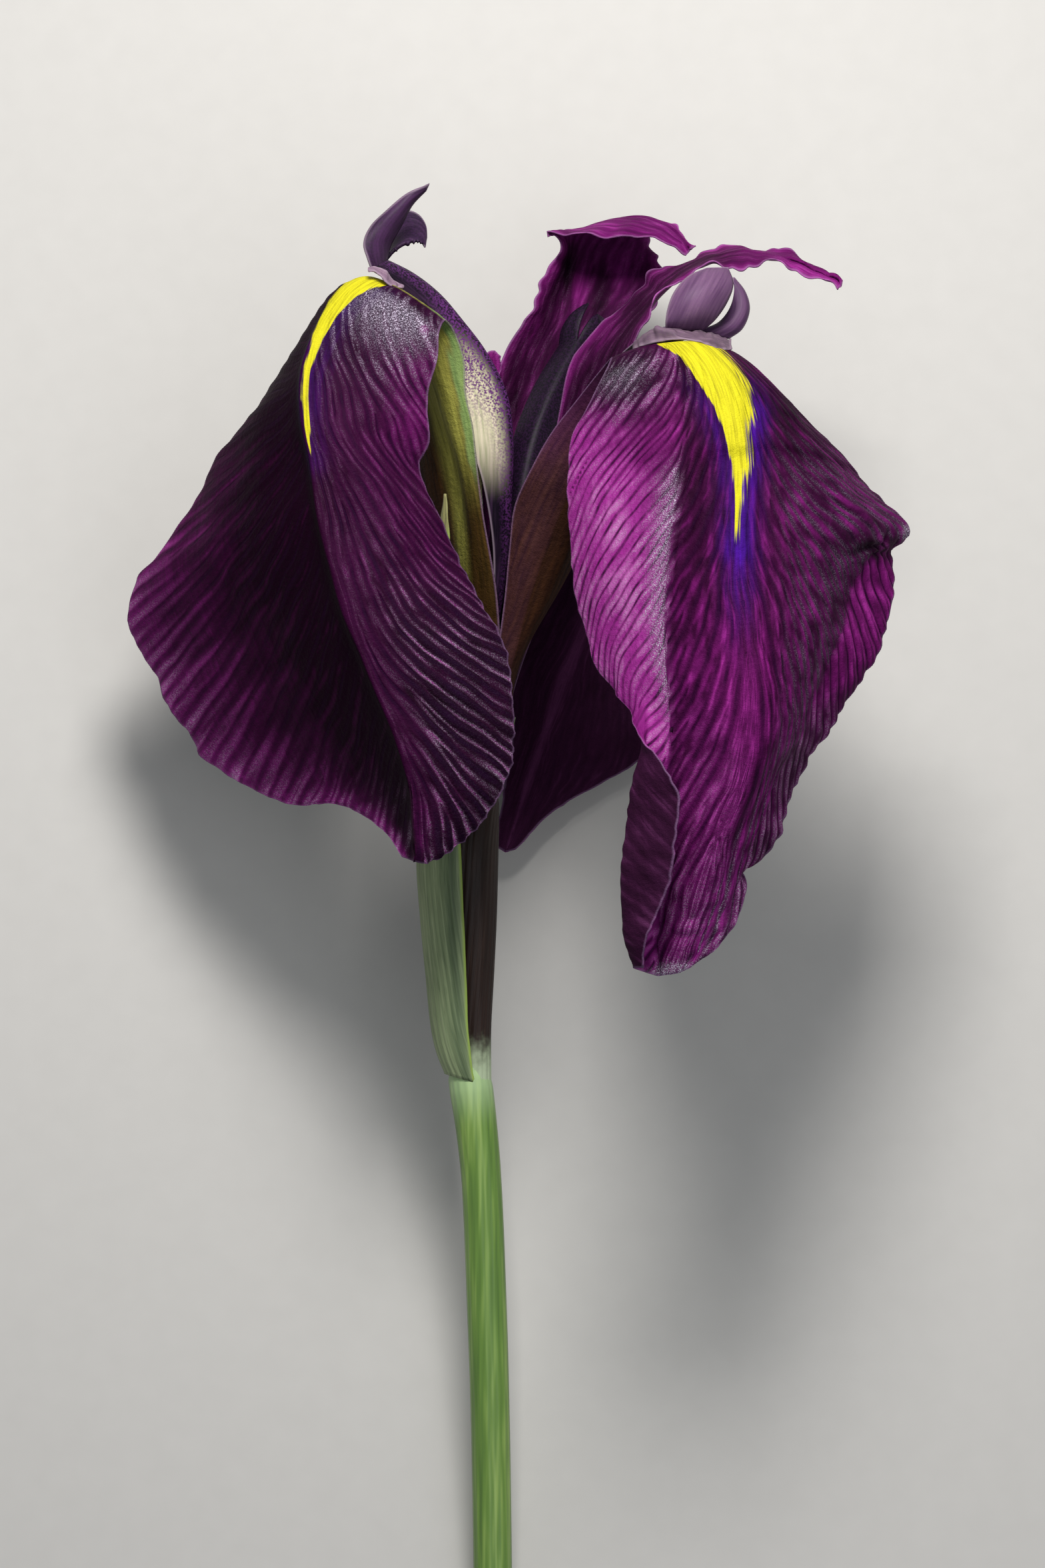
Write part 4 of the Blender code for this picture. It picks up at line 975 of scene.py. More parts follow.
# %% Left fall: its signal
LEFT_SIGNAL = [
    (-15.5, 56.6), (-17.5, 57.6), (-20.2, 58.2), (-23.2, 56.4), (-25.9, 53.3), (-28.2, 48.6),
    (-29.3, 44.2), (-29.7, 39.6), (-29.2, 35.6), (-28.5, 31.0), (-28.6, 35.6), (-28.9, 39.6),
    (-28.5, 43.6), (-26.9, 47.9), (-24.8, 51.3), (-22.5, 53.7), (-20.0, 55.1), (-17, 55.6),
]
yellow_edge = outline_distance(left_net, LEFT_SIGNAL)
half_stripe = np.interp(left_chart.blade, [0.0, 0.12, 0.3], [2.8, 1.8, 0.3])
yellow_edge = np.minimum(yellow_edge, half_stripe - left_chart.over)
haft_yellow = 1.2 - 14 * left_chart.haft - 5 * outward
left_signal = 5.0 * np.where(on_haft, haft_yellow, yellow_edge)
print("points in the signal:", int((left_signal > 0).sum()))

# %% [markdown]
# The tone is 0 for the darkest flesh and 1 for the palest. The far page lies in shade: its tone is painted
# dark beside the rib as painted shade, and lighter towards its margin, where a painted sheen lies too. The
# painted sheen of the velvet lies thick on the dome and on the crests of the deep quilting, and thin on the
# margins.

# %% Left fall: its tone, painted shade and painted sheen
# painted shade on the far page, darkest beside the rib
left_tone = np.where(
    on_left,
    -0.05 + 0.36 * rise(0.1, 0.8, outward) * rise(48.0, 14.0, place_y) + 0.2 * np.exp(-left_chart.rim / 3.0),
    0.17 + 0.06 * rise(0.1, 0.6, outward) - 0.08 * strong - 0.16 * spot(left_net, -18, 53, 9, 6),
)
left_tone = left_tone + 0.22 * spot(left_net, -13.5, 38, 4.5, 7) + 0.3 * spot(left_net, -12.4, 49.4, 0.9, 0.7)
left_tone = left_tone + 0.12 * spot(left_net, -10.0, -19.0, 6, 6) * front_page
dome = (spot(left_net, -15.5, 53.0, 9, 7.0) + 0.2 * spot(left_net, -15.5, 45.0, 8, 6)) * front_page
# painted sheen along the far page's lower margin
edge_sheen = on_left * np.exp(-left_chart.rim / 5.0) * rise(22.0, 8.0, place_y)
left_tone = left_tone + 0.14 * edge_sheen
left_sheen = np.clip(0.72 * dome + 0.26 * strong + 0.04 * front_page + 0.38 * edge_sheen, 0, 1)
left_halo = 0.25 * bell(np.maximum(-yellow_edge, 0), 2.0) * front_page * (1 - 0.6 * dome)
print("tone", round(float(left_tone.min()), 2), "to", round(float(left_tone.max()), 2))

# %% [markdown]
# The haft has an olive face and a green edge whose border winds. Its wings, and its face low down where the
# page shades it, are painted dark brown as painted shade.

# %% Left fall: its haft
winding = -0.78 + 0.1 * wander(left_chart.along / 3.1, 0.5 + 0 * place_y, 6)
green_edge = rise(0.04, -0.08, left_chart.side - winding) * on_haft * rise(25.0, 30.0, place_y)
olive_face = rise(0.9, 0.6, left_chart.haft) * on_haft * (1 - green_edge) * rise(0.5, 0.1, left_chart.side)
# painted shade: the back wing in the dark gap under the page, and the face below 36 mm in the page's shade
left_wing_shade = rise(0.1, 0.4, left_chart.side) + rise(36.0, 22.0, place_y) * rise(0.0, -0.4, left_chart.side)
left_wing_shade = 0.95 * np.clip(left_wing_shade, 0, 1) * on_haft
left_paint = petal_paint(
    left_chart,
    left_tone,
    left_sheen * left_blade,
    0.6 + 0.2 * strong + 0.25 * front_page - 0.25 * dome,
    (0.09 - 0.04 * front_page + 0.32 * strong) * left_blade,
    signal=left_signal,
    halo=left_halo * left_blade,
    haft=(green_edge, olive_face, left_wing_shade),
)
sheet("fall_left_petal", [left_shape], [left_paint], 0.5, petal_skins, "fall_left")

# %% [markdown]
# The right fall is nearest to the viewer. Seven lines tell its shape, because its right margin is
# folded back and its left margin rolls forward over the face in the lower third, where the dull
# underside shows.

# %% Right fall: its left page
right_left = two_stretches(
    [ring_point(FALL_RING, 88), (-2.6, 3, 5.2), (-1.4, 11, 6.2), (-0.6, 19, 6.8), (0.1, 24.7, 7.8),
     (2.7, 30.4, 9.6), (5.2, 34.8, 11.2), (8.8, 39.4, 13.4), (12.0, 43.4, 15.8), (13.6, 45.2, 17.8)],
    [(12.2, 42, 19.2), (9.9, 37.6, 19.8), (8.0, 34.0, 20.2), (7.5, 28, 21.0), (7.8, 19.4, 22.5),
     (8.3, 13.1, 24.0), (9.8, 7.3, 26.0), (11.4, 2.2, 28.5), (13.9, -1.4, 32.0), (16.5, -4.8, 36.4),
     (16.9, -7.0, 40.2), (18.5, -9.2, 43.0), (20.9, -12.0, 44.4), (22.8, -15.4, 45.4),
     (22.8, -20.1, 45.8), (22.0, -25.1, 45.4), (21.0, -29.5, 44.6), (19.4, -33.6, 43.4),
     (18.2, -37.0, 42.4), (18.0, -39.9, 41.4)],
)
right_roll = two_stretches(
    [ring_point(FALL_RING, 78), (-1.5, 3, 5.2), (0.6, 12, 6.8), (2.4, 22, 8.4), (5.2, 29, 10.8),
     (8.8, 35.0, 13.2), (12.6, 40.4, 16.0), (16.0, 44.8, 19.0), (18.0, 46.6, 21.0)],
    [(17.6, 44, 23.4), (15.4, 38, 24.6), (13.2, 30, 26.0), (12.4, 20, 28.0), (12.9, 12, 30.0),
     (14.4, 5, 32.4), (16.6, -0.4, 35.8), (18.8, -5.0, 38.4), (18.2, -8.8, 39.6), (16.9, -12.8, 40.4),
     (15.9, -18.2, 40.8), (15.3, -24.5, 40.8), (15.2, -30.8, 40.4), (15.6, -36.2, 39.8),
     (16.7, -40.0, 39.4)],
)
right_shimmer = two_stretches(
    [ring_point(FALL_RING, 64), (-0.2, 3, 4.8), (3.0, 14, 7.0), (6.8, 24, 9.8), (10.4, 31.5, 13.0),
     (14.6, 38.5, 16.6), (18.4, 44.0, 20.4), (21.0, 47.0, 23.2)],
    [(23.0, 44.4, 27.4), (24.0, 38, 31.0), (23.6, 29, 34.6), (22.4, 20, 37.2), (21.4, 10, 38.8),
     (21.4, 3, 39.8), (21.8, -3, 40.2), (21.9, -8, 40.0), (21.4, -14, 39.4), (20.8, -20, 38.8),
     (20.4, -26, 38.2), (20.0, -32, 37.8), (19.6, -37, 37.4), (19.9, -41.1, 37.4)],
)
print("the right fall's left margin is", round(lengths(right_left)[-1]), "mm long")

# %% [markdown]
# The rib and the far page follow. The page turns back at the fold, and its margin shows as a
# ribbon beside it.

# %% Right fall: its rib and its folded page
right_rib = two_stretches(
    [ring_point(FALL_RING, 50), (0.4, 3, 4.0), (5.0, 13, 6.4), (10.4, 26, 10.8), (14.6, 34, 14.8),
     (18.8, 40.8, 18.8), (22.0, 45.2, 22.0), (24.6, 47.2, 24.8)],
    [(28.3, 43.4, 29.4), (30.6, 36.5, 33.2), (31.4, 29, 36.2), (31.2, 21, 39.0), (31.2, 14.5, 40.8),
     (32.2, 8, 42.4), (32.8, 0, 43.6), (32.6, -7, 44.2), (31.4, -14, 44.0), (29.2, -19.5, 43.2),
     (27.1, -25, 41.8), (25.0, -32, 40.2), (21.8, -40.8, 38.2)],
)
right_far_page = two_stretches(
    [ring_point(FALL_RING, 38), (0.7, 3, 3.0), (6.2, 13.5, 4.8), (12.8, 27, 8.6), (17.4, 35, 12.2),
     (21.8, 41.6, 16.0), (25.2, 45.2, 19.0), (27.8, 46.6, 21.4)],
    [(33.2, 41.6, 27.2), (36.0, 34.5, 31.0), (38.2, 26, 34.0), (39.4, 18, 36.2), (39.4, 10, 38.2),
     (38.6, 2, 39.8), (37.6, -5, 41.0), (35.6, -11, 41.6), (33.2, -17, 41.8), (31.0, -22.5, 41.4),
     (29.2, -28, 40.2), (27.2, -33.8, 39.0), (23.8, -40.2, 38.2)],
)
right_fold = two_stretches(
    [ring_point(FALL_RING, 26), (0.8, 3, 1.8), (6.8, 14, 3.2), (14.4, 28.5, 6.4), (19.6, 36.6, 9.8),
     (24.6, 43.0, 13.8), (28.0, 45.6, 17.0), (30.4, 46.0, 19.0)],
    [(37.0, 39.6, 24.0), (41.6, 33, 26.6), (46.0, 26.4, 26.4), (49.6, 21.6, 23.4),
     (49.2, 17.6, 23.2), (47.0, 13.1, 25.2), (45.8, 8.1, 27.6), (43.6, 2.4, 30.6), (41.6, -2.6, 33.2),
     (39.4, -8.2, 35.6), (36.9, -12.4, 37.4), (34.8, -17.4, 38.6), (32.8, -22.6, 39.4),
     (31.0, -28.0, 38.6), (28.8, -34.5, 38.0), (25.8, -38.8, 38.0)],
)
right_edge = two_stretches(
    [ring_point(FALL_RING, 12), (0.7, 3, 0.6), (6.6, 14, 1.2), (14.6, 28, 3.4), (20.2, 36.6, 6.6),
     (26.0, 43.0, 10.8), (29.8, 45.2, 14.0), (32.4, 44.2, 16.4)],
    [(37.2, 40.4, 18.8), (41.0, 36.4, 19.2), (45.4, 32.3, 18.4), (49.8, 27.2, 16.4),
     (53.6, 23.2, 14.4), (55.3, 21.1, 13.8), (55.4, 20.5, 13.9), (53.5, 18.4, 15.0), (53.0, 14, 17.4),
     (52.6, 10.2, 19.0), (51.6, 6.2, 20.8), (49.8, 2.0, 22.6), (46.6, -2.2, 24.6),
     (43.6, -7.2, 27.2), (40.8, -12.0, 29.6), (38.0, -17.6, 32.2), (36.4, -22.0, 34.0),
     (34.7, -24.9, 35.4), (33.0, -26.0, 36.4), (31.6, -26.2, 37.0), (32.3, -28.2, 37.0),
     (31.7, -31.2, 37.0), (30.2, -34.6, 37.2), (27.6, -37.6, 37.4)],
)
print("the right rib is", round(lengths(right_rib)[-1]), "mm long")

# %% [markdown]
# The rows crease at the shimmering line, where the left page turns up, and at the fold. Veins
# turn at the first of them, and just beside it the petal is pushed back a little, so that the
# turned page stands out.

# %% Right fall: its net and its veins
RIGHT_PLACES = [0, 0.17, 0.34, 0.5, 0.66, 0.83, 1]
RIGHT_CREASES = {2: 0.9 * rise(0.2, 0.34, CREASE_BLADE), 5: 0.9 * CREASE_ROWS}
SHIMMER = round(RIGHT_PLACES[2] * COLUMNS)
right_lines = [right_left, right_roll, right_shimmer, right_rib, right_far_page, right_fold, right_edge]
right_net = across(right_lines, RIGHT_PLACES, COLUMNS, RIGHT_CREASES)

right_chart = PetalMap(right_net, HAFT_ROWS)
side = right_chart.side
feathered = right_chart.feather()
past_fold = (side < side[0, SHIMMER]) & (right_chart.blade > 0)
right_chart.set_way(np.where(past_fold, turned(right_chart, feathered, SHIMMER, 0.85, 2.2), feathered))
beyond = (right_chart.over - right_chart.over[:, SHIMMER : SHIMMER + 1]) * rise(0.2, 0.34, right_chart.blade)
right_net = tuck_back(right_net, beyond, 1.3, 4.0)
print("right net", right_net.shape)

# %% [markdown]
# The right fall faces the key light. Its left page is turned up and pale pink, with a band of painted sheen
# along the fold; the middle is deep magenta; the right part is dark, and its folded ribbon is crumpled near
# the outer corner. Each of these is a soft mask over the net.

# %% Right fall: its relief
place_x, place_y = right_net[..., 0], right_net[..., 1]
on_haft = right_chart.blade <= 0
right_blade = rise(0.0, 0.04, right_chart.blade)
left_page = rise(-0.30, -0.36, side)
pink_page = left_page * rise(44.0, 26.0, place_y + 0.7 * (place_x - 10)) * rise(-16.0, -7.0, place_y)
middle = rise(-0.3, -0.2, side) * rise(0.3, 0.15, side) * rise(36.0, 24.0, place_y)
right_chart.spread = right_chart.spread * (1 - 0.3 * middle)
ribbon = rise(0.64, 0.7, side) * rise(21.0, 17.5, place_y)
rolled = rise(-0.62, -0.75, side) * rise(0.0, -6.0, place_y)
right_ridges = (0.09 - 0.065 * pink_page + 0.06 * rise(0.25, 0.5, side) + 0.08 * ribbon) * right_blade
right_ridges = right_ridges * rise(0.02, 0.12, np.abs(side))
right_shape = relief(right_net, right_chart, right_ridges, 0.3, 41)
print("ridges up to", round(float(right_ridges.max()), 2), "mm")

# %% [markdown]
# Two places are special. The tip is blistered, and the ribbon's corner is crumpled in short folds,
# 2.6 mm apart, that wind a little: a cosine of the way across them, bent by hills.

# %% Right fall: blisters and crumple
CRUMPLE_STEP = 2.6

blister = wander(right_chart.along / 1.3, right_chart.over / 1.6, 57) * spot(right_net, 26, -34, 8, 6)
bent = 0.42 * place_x - 0.9 * place_y + 1.6 * wander(place_x / 2.2, place_y / 2.2, 58)
crumple = np.cos(2 * np.pi * bent / CRUMPLE_STEP) * spot(right_net, 51, 18.4, 3.4, 2.2)
right_shape = right_shape + normals(right_net) * (0.4 * blister + 0.55 * crumple)[..., None]
print("crumple", round(float(0.55 * crumple.max()), 2), "mm high")

# %% [markdown]
# The tone, the painted sheen and the halo are sums of soft patches, which is easier to tune than one painted
# picture.

# %% Right fall: its signal and tone
RIGHT_SIGNAL = [
    (19.0, 47.6), (20.2, 46.8), (23.4, 45.0), (25.9, 41.3), (27.8, 38.2), (29.3, 34.4),
    (30.3, 30.0), (30.7, 25.0), (30.8, 18.4), (31.2, 22.5), (31.9, 27.5), (32.6, 30.0),
    (32.6, 33.8), (33.1, 37.5), (32.5, 40.7), (30.9, 43.8), (29.0, 46.0), (26.0, 48.4),
]
yellow_edge = outline_distance(right_net, RIGHT_SIGNAL)
haft_yellow = 1.5 - 5 * right_chart.haft - 4 * np.abs(side)
right_signal = np.where(on_haft, haft_yellow, yellow_edge * (1 + 4.0 * rise(0.03, -0.06, side)))
beside = side + 0.345
# painted sheen along the fold: pale in the sheen layer, a little darker in tone
fold_sheen = bell(beside, np.where(beside < 0, 0.10, 0.02))
fold_sheen = fold_sheen * rise(33.0, 26.0, place_y + 0.3 * (20 - place_x)) * rise(-12.0, 2.0, place_y)
right_tone = (
    0.26
    + 0.22 * left_page
    + 0.3 * pink_page
    + 0.19 * spot(right_net, 30.0, -2, 7, 16) * (side > -0.32)
    + 0.07 * rise(0.1, 0.4, side) * rise(36.0, 24.0, place_y)
    + 0.14 * ribbon * rise(-12.0, 4.0, place_y)
    + 0.24 * spot(right_net, 25, -32, 8, 9)
    # painted shade just right of the fold, where the middle turns away from the light
    - 0.10 * spot(right_net, 25, 25, 3.5, 12)
    - 0.36 * spot(right_net, 14.5, 43.5, 8, 6)
    - 0.15 * spot(right_net, 38, 37, 7, 7)
    - 0.12 * fold_sheen
    + 0.16 * spot(right_net, 27, -14, 4, 7) * (side > -0.32)
    - 0.2 * rolled
    - 0.3 * spot(right_net, 50.0, 18.6, 4.0, 1.5)
)
print("tone", round(float(right_tone.min()), 2), "to", round(float(right_tone.max()), 2))

# %% [markdown]
# The painted sheen of the velvet is thickest on the shoulder, along the shimmering fold and at the tip, and
# two small painted highlights mark the outer corner and the lower edge. On the right half the sheen clings to
# the veins rather than to the crests, which `grip` says.

# %% Right fall: its painted sheen and halo
right_sheen = np.clip(
    0.52 * spot(right_net, 14.5, 43.5, 8, 6)
    + 0.52 * fold_sheen
    + 0.2 * pink_page
    + 0.14 * rise(0.1, 0.45, side) * (1 - ribbon) * rise(40.0, 24.0, place_y)
    + 0.1 * spot(right_net, 27, -14, 4, 7)
    + 0.25 * ribbon * rise(0.0, -8.0, place_y)
    + 0.25 * spot(right_net, 25, -32, 8, 8)
    # painted highlights: a white fleck at the outer corner and a wet glint on the lower edge
    + 1.5 * spot(right_net, 55.2, 20.8, 0.9, 0.8)
    + 1.2 * spot(right_net, 22.6, -40.6, 4.0, 1.3),
    0,
    1,
)
right_halo = bell(np.maximum(-yellow_edge, 0), 1.9) * rise(44.0, 36.0, place_y) * (0.5 + 0.5 * (side > 0))
right_halo = right_halo + 0.6 * spot(right_net, 31.4, 16, 2.2, 8)
right_paint = petal_paint(
    right_chart,
    right_tone,
    right_sheen * right_blade * (1 - rolled),
    0.75 + 0.15 * pink_page + 0.1 * ribbon - 0.5 * rolled,
    (0.13 - 0.1 * pink_page) * right_blade,
    signal=right_signal,
    halo=np.clip(right_halo, 0, 1) * right_blade,
    # the haft's dark brown is partly painted shade
    haft=(0, 0, 0.85 * rise(0.1, 0.45, right_chart.haft) * on_haft),
    grip=rise(0.1, 0.3, side) * (1 - ribbon),
)
sheet("fall_right_petal", [right_shape], [right_paint], 0.5, petal_skins, "fall_right")

# %% [markdown]
# The back fall hangs behind the others and carries the flower's weight, so it is pressed flatter.
# Only a dim strip of it shows between the two front falls, with its rib as a lighter ridge.

# %% Back fall: its lines
BACK_ROWS = (40, 130)

back_left = two_stretches(
    [ring_point(FALL_RING, 252), (-4.6, 4, -7.4), (-3.0, 18, -12.4), (0.2, 33, -19.0), (3.0, 40.5, -23.6)],
    [(-1.0, 37, -30.4), (-5.0, 29, -34.8), (-7.6, 20, -36.4), (-6.8, 11, -35.0), (-2.6, 3, -32.4),
     (-0.5, -4, -30.0), (-0.7, -11.5, -27.4), (-2.0, -18.0, -24.8), (-2.7, -23.2, -22.8)],
    *BACK_ROWS,
)
back_rib = two_stretches(
    [ring_point(FALL_RING, 290), (-0.8, 4, -8.0), (3.2, 18, -14.0), (7.4, 34, -21.6), (10.8, 43, -26.4)],
    [(13.6, 41, -31.6), (14.4, 33, -34.2), (13.6, 24, -34.8), (12.2, 16, -34.0), (10.2, 8.5, -32.8),
     (7.2, 1, -31.0), (4.6, -6.5, -29.0), (1.9, -14.5, -26.4), (-1.2, -24.0, -22.6)],
    *BACK_ROWS,
)
back_right = two_stretches(
    [ring_point(FALL_RING, 328), (1.6, 4, -5.8), (7.4, 18, -10.6), (13.6, 33, -17.4), (18.6, 41.5, -23.0)],
    [(26.6, 39, -29.4), (33.4, 31, -33.0), (36.6, 21, -34.0), (35.4, 11, -33.0), (31.0, 2, -31.2),
     (24.6, -5.6, -29.4), (17.4, -11.4, -28.0), (10.0, -15.5, -26.4), (4.4, -19.4, -24.6),
     (0.4, -23.6, -22.8)],
    *BACK_ROWS,
)
print("the back rib is", round(lengths(back_rib)[-1]), "mm long")

# %% [markdown]
# Its net is coarser than the front falls' nets, as little of it shows.

# %% Back fall: its net
BACK_COLUMNS = 110

back_left_page = between(
    back_rib, back_left,
    [(0, 0, 0), (0.2, 0, -0.8), (0.2, 0, -1.0), (0, 0.8, -1.4), (0, 0.6, -1.0), (0, 0, -0.4),
     (0, 0, 0.2), (0, 0, 0), (0, 0, -0.4), (0, 0, -0.2), (0, 0, 0)],
)
back_right_page = between(
    back_rib, back_right,
    [(0, 0, 0), (0.2, 0, -0.8), (0.2, 0, -1.0), (0, 0.8, -1.4), (0, 0.6, -2.4), (0, 0, -3.3),
     (0, 0, -3.1), (0, 0, -1.6), (0, 0, -0.6), (0, 0, -0.2), (0, 0, 0)],
)
back_lines = [back_left, back_left_page, back_rib, back_right_page, back_right]
back_net = across(back_lines, np.linspace(0, 1, 5), BACK_COLUMNS)
print("back net", back_net.shape)

# %% [markdown]
# The back fall and the standards have waved margins: a sine along the petal that grows from the
# middle to the edges, and starts at another height on each side.

# %% Waves
FLAT_MIDDLE = 0.45


def ruffled(net, first_row, waves, height, phase=0.0):
    """The net with its margins waved by height * sin(turn), where turn grows along the petal.

    The wave is 0 at both ends and over the flat middle, and grows as a square to the margins.
    """
    rows, columns = net.shape[:2]
    along = np.clip((np.arange(rows) - first_row) / (rows - 1 - first_row), 0.0, 1.0)
    fade = np.sin(np.pi * along) ** 0.5
    side = np.linspace(-1.0, 1.0, columns)
    edge = np.clip((np.abs(side) - FLAT_MIDDLE) / (1 - FLAT_MIDDLE), 0.0, 1.0) ** 2
    turn = 2 * np.pi * waves * along[:, None] + phase + 1.7 * (side[None, :] > 0)
    wave = height * np.sin(turn) * fade[:, None] * edge[None, :]
    return net + wave[:, :, None] * normals(net)


print("the middle", round(100 * FLAT_MIDDLE), "per cent stay flat")

# %% [markdown]
# The pressed blade has weak ridges, a lighter rib, and a dark brown haft like the others, partly painted
# shade.

# %% Back fall: its relief and paint
back_net = ruffled(back_net, BACK_ROWS[0], 4.0, 0.6, 0.8)
back_chart = PetalMap(back_net, BACK_ROWS[0])
back_chart.set_way(back_chart.feather())
back_shape = relief(back_net, back_chart, 0.06 * rise(0.0, 0.06, back_chart.blade), 0.15, 71)
back_tone = 0.26 + 0.3 * bell(back_chart.side, 0.08) + 0.1 * rise(0.5, 0.9, back_chart.blade)
back_brown = 0.6 * rise(0.2, 0.6, back_chart.haft)
back_paint = petal_paint(back_chart, back_tone, 0.08, 0.5, 0.06, haft=(0, 0, back_brown))
sheet("fall_back_petal", [back_shape], [back_paint], 0.5, petal_skins, "fall_back", face_up=False)

# %% [markdown]
# The standards are small, strap-like and wavy. Each is three lines, and each line splits where the
# petal turns: its foot rises from the tube, and its top arches or folds forward.

# %% A standard
STANDARD_RING = 2.6
STRAP_ROWS = 150
STRAP_COLUMNS = 60


def standard(name, node, lines, waves, phase, seed, tone, lit=()):
    """A small inner petal from its two margins and its rib, with waved and crinkled margins.

    lit holds soft patches, (x, y, width, height, change of tone), for its creases and lit places.
    """
    made = [two_stretches(foot, top, STRAP_ROWS, STRAP_ROWS) for foot, top in lines]
    net = ruffled(across(made, [0.0, 0.5, 1.0], STRAP_COLUMNS), STRAP_ROWS, waves, 0.5, phase)
    chart = PetalMap(net, STRAP_ROWS)
    chart.set_way(4.0 * chart.side * np.exp(-0.6 * chart.blade))
    shape = relief(net, chart, 0.05, 0.5, seed, lobes=0.6)
    # painted light: a pale rim highlight along the margins, and the upper part painted lighter where the hood
    # would shade it
    lit_tone = tone + 0.24 * np.exp(-chart.rim / 1.2) + 0.16 * wander(chart.along / 8, chart.over / 3, seed)
    lit_tone = lit_tone + 0.16 * rise(0.2, 0.4, chart.blade)
    for x, y, width, height, change in lit:
        lit_tone = lit_tone + change * spot(net, x, y, width, height)
    paint = petal_paint(chart, lit_tone, 0.03, 0.3, 0.06)
    sheet(name, [shape], [paint], 0.45, [petal_top], node)


print("a standard has", 2 * STRAP_ROWS, "rows of", STRAP_COLUMNS, "faces")

# %% [markdown]
# The back standard arches over the bloom, with two dark creases beside a lit one.

# %% Back standard
standard(
    "standard_back_petal",
    "standard_back",
    [
        ([ring_point(STANDARD_RING, 240), (-6.0, 8, -7.0), (-5.4, 26, -12.6), (-3.0, 41, -16.6),
          (-1.4, 46.6, -18.4)],
         [(1.3, 51, -20.2), (4.2, 56.4, -22.6), (6.2, 59.8, -23.4), (6.2, 62.4, -22.6),
          (5.0, 64.2, -21.0), (7.4, 63.3, -19.8), (12.8, 63.4, -19.2), (16.6, 63.6, -19.6),
          (20.8, 62.4, -20.6), (24.6, 60.9, -21.8)]),
        ([ring_point(STANDARD_RING, 256), (-3.8, 8, -6.8), (-1.2, 26, -13.2), (2.6, 41, -19.6),
          (5.6, 48, -23.4)],
         [(7.4, 53, -26.0), (8.8, 58, -28.4), (10.2, 62.6, -29.2), (13.0, 65.4, -27.4),
          (17.4, 66.2, -25.2), (21.6, 64.8, -23.8), (25.2, 61.6, -22.6)]),
        ([ring_point(STANDARD_RING, 272), (-1.8, 8, -6.2), (2.8, 26, -12.4), (10.4, 41, -19.8),
          (15.8, 47.5, -24.2)],
         [(19.0, 52.5, -27.0), (20.8, 57.5, -29.4), (20.2, 61.0, -30.6), (18.8, 63.6, -30.4),
          (20.2, 65.2, -28.4), (23.0, 64.4, -25.8), (25.7, 62.2, -23.4)]),
    ],
    3.5, 0.4, 101, 0.2,
    lit=[(2.6, 52.5, 2.2, 8.0, 0.18), (9.4, 55.6, 1.3, 3.2, 0.3), (7.6, 58.4, 0.9, 4.0, -0.3),
         (12.5, 56.0, 1.2, 5.0, -0.2), (12.0, 64.8, 8.0, 1.4, 0.1)],
)

# %% [markdown]
# The right standard points outwards, and its margins are the most waved.

# %% Right standard
standard(
    "standard_right_petal",
    "standard_right",
    [
        ([ring_point(STANDARD_RING, 334), (0.2, 6, -2.2), (4.4, 24, -4.2), (6.4, 38, -6.8),
          (8.6, 46.4, -9.0)],
         [(14.7, 52.5, -10.2), (19.8, 57.5, -10.6), (25.3, 60.2, -10.0), (32.0, 61.6, -8.6),
          (37.8, 60.6, -6.6), (43.3, 58.2, -4.2), (46.0, 56.9, -2.8)]),
        ([ring_point(STANDARD_RING, 350), (0.6, 6, -1.2), (6.0, 24, -2.4), (9.9, 36.5, -3.8),
          (13.2, 44.6, -5.0)],
         [(16.6, 50.2, -5.4), (20.4, 55.0, -5.6), (26.0, 59.0, -5.4), (32.0, 60.6, -4.8),
          (38.0, 60.0, -3.6), (43.0, 57.9, -2.6), (46.3, 56.3, -2.0)]),
        ([ring_point(STANDARD_RING, 6), (0.8, 6, 0.2), (7.8, 24, 0.0), (13.0, 35.5, 0.0),
          (16.4, 44.2, -0.2)],
         [(17.8, 50.0, -0.2), (20.6, 54.4, -0.6), (25.2, 57.6, -1.0), (30.6, 58.6, -1.2),
          (35.0, 59.2, -1.4), (40.0, 58.6, -1.5), (46.0, 55.8, -1.4)]),
    ],
    4.5, 1.1, 121, 0.2,
)

# %% [markdown]
# The left standard is hidden behind the left style. It is short, and plain.

# %% Left standard
standard(
    "standard_left_petal",
    "standard_left",
    [
        ([ring_point(STANDARD_RING, 200), (-5.9, 6, -3.6), (-5.8, 15, -5.4), (-5.6, 25, -7.0)],
         [(-6.0, 34, -8.4), (-5.4, 41, -9.6), (-4.2, 46.0, -10.8)]),
        ([ring_point(STANDARD_RING, 209), (-5.4, 6, -4.4), (-5.0, 15, -6.4), (-4.6, 25, -8.6)],
         [(-4.8, 34, -10.2), (-4.2, 41.4, -11.2), (-3.2, 47.0, -11.8)]),
        ([ring_point(STANDARD_RING, 218), (-4.7, 6, -5.0), (-4.0, 15, -7.2), (-3.2, 25, -9.6)],
         [(-3.0, 34, -11.4), (-2.4, 41, -12.2), (-2.1, 46.4, -12.4)]),
    ],
    2.0, 0.0, 141, 0.3,
)

# %% [markdown]
# A style arm is the female part of an iris, grown into a petal. Its skin is smoother and greyer than a
# petal's: mauve outside, cream and green in the middle of its lower side, where it covers the stamen, with
# purple speckles of 0.3 mm towards its margins. Its streaks are half a millimetre wide, and it shines
# faintly. A pale painted rim highlight runs along its margin.

# %% Style skin
SPECKLE = 0.3 * MM


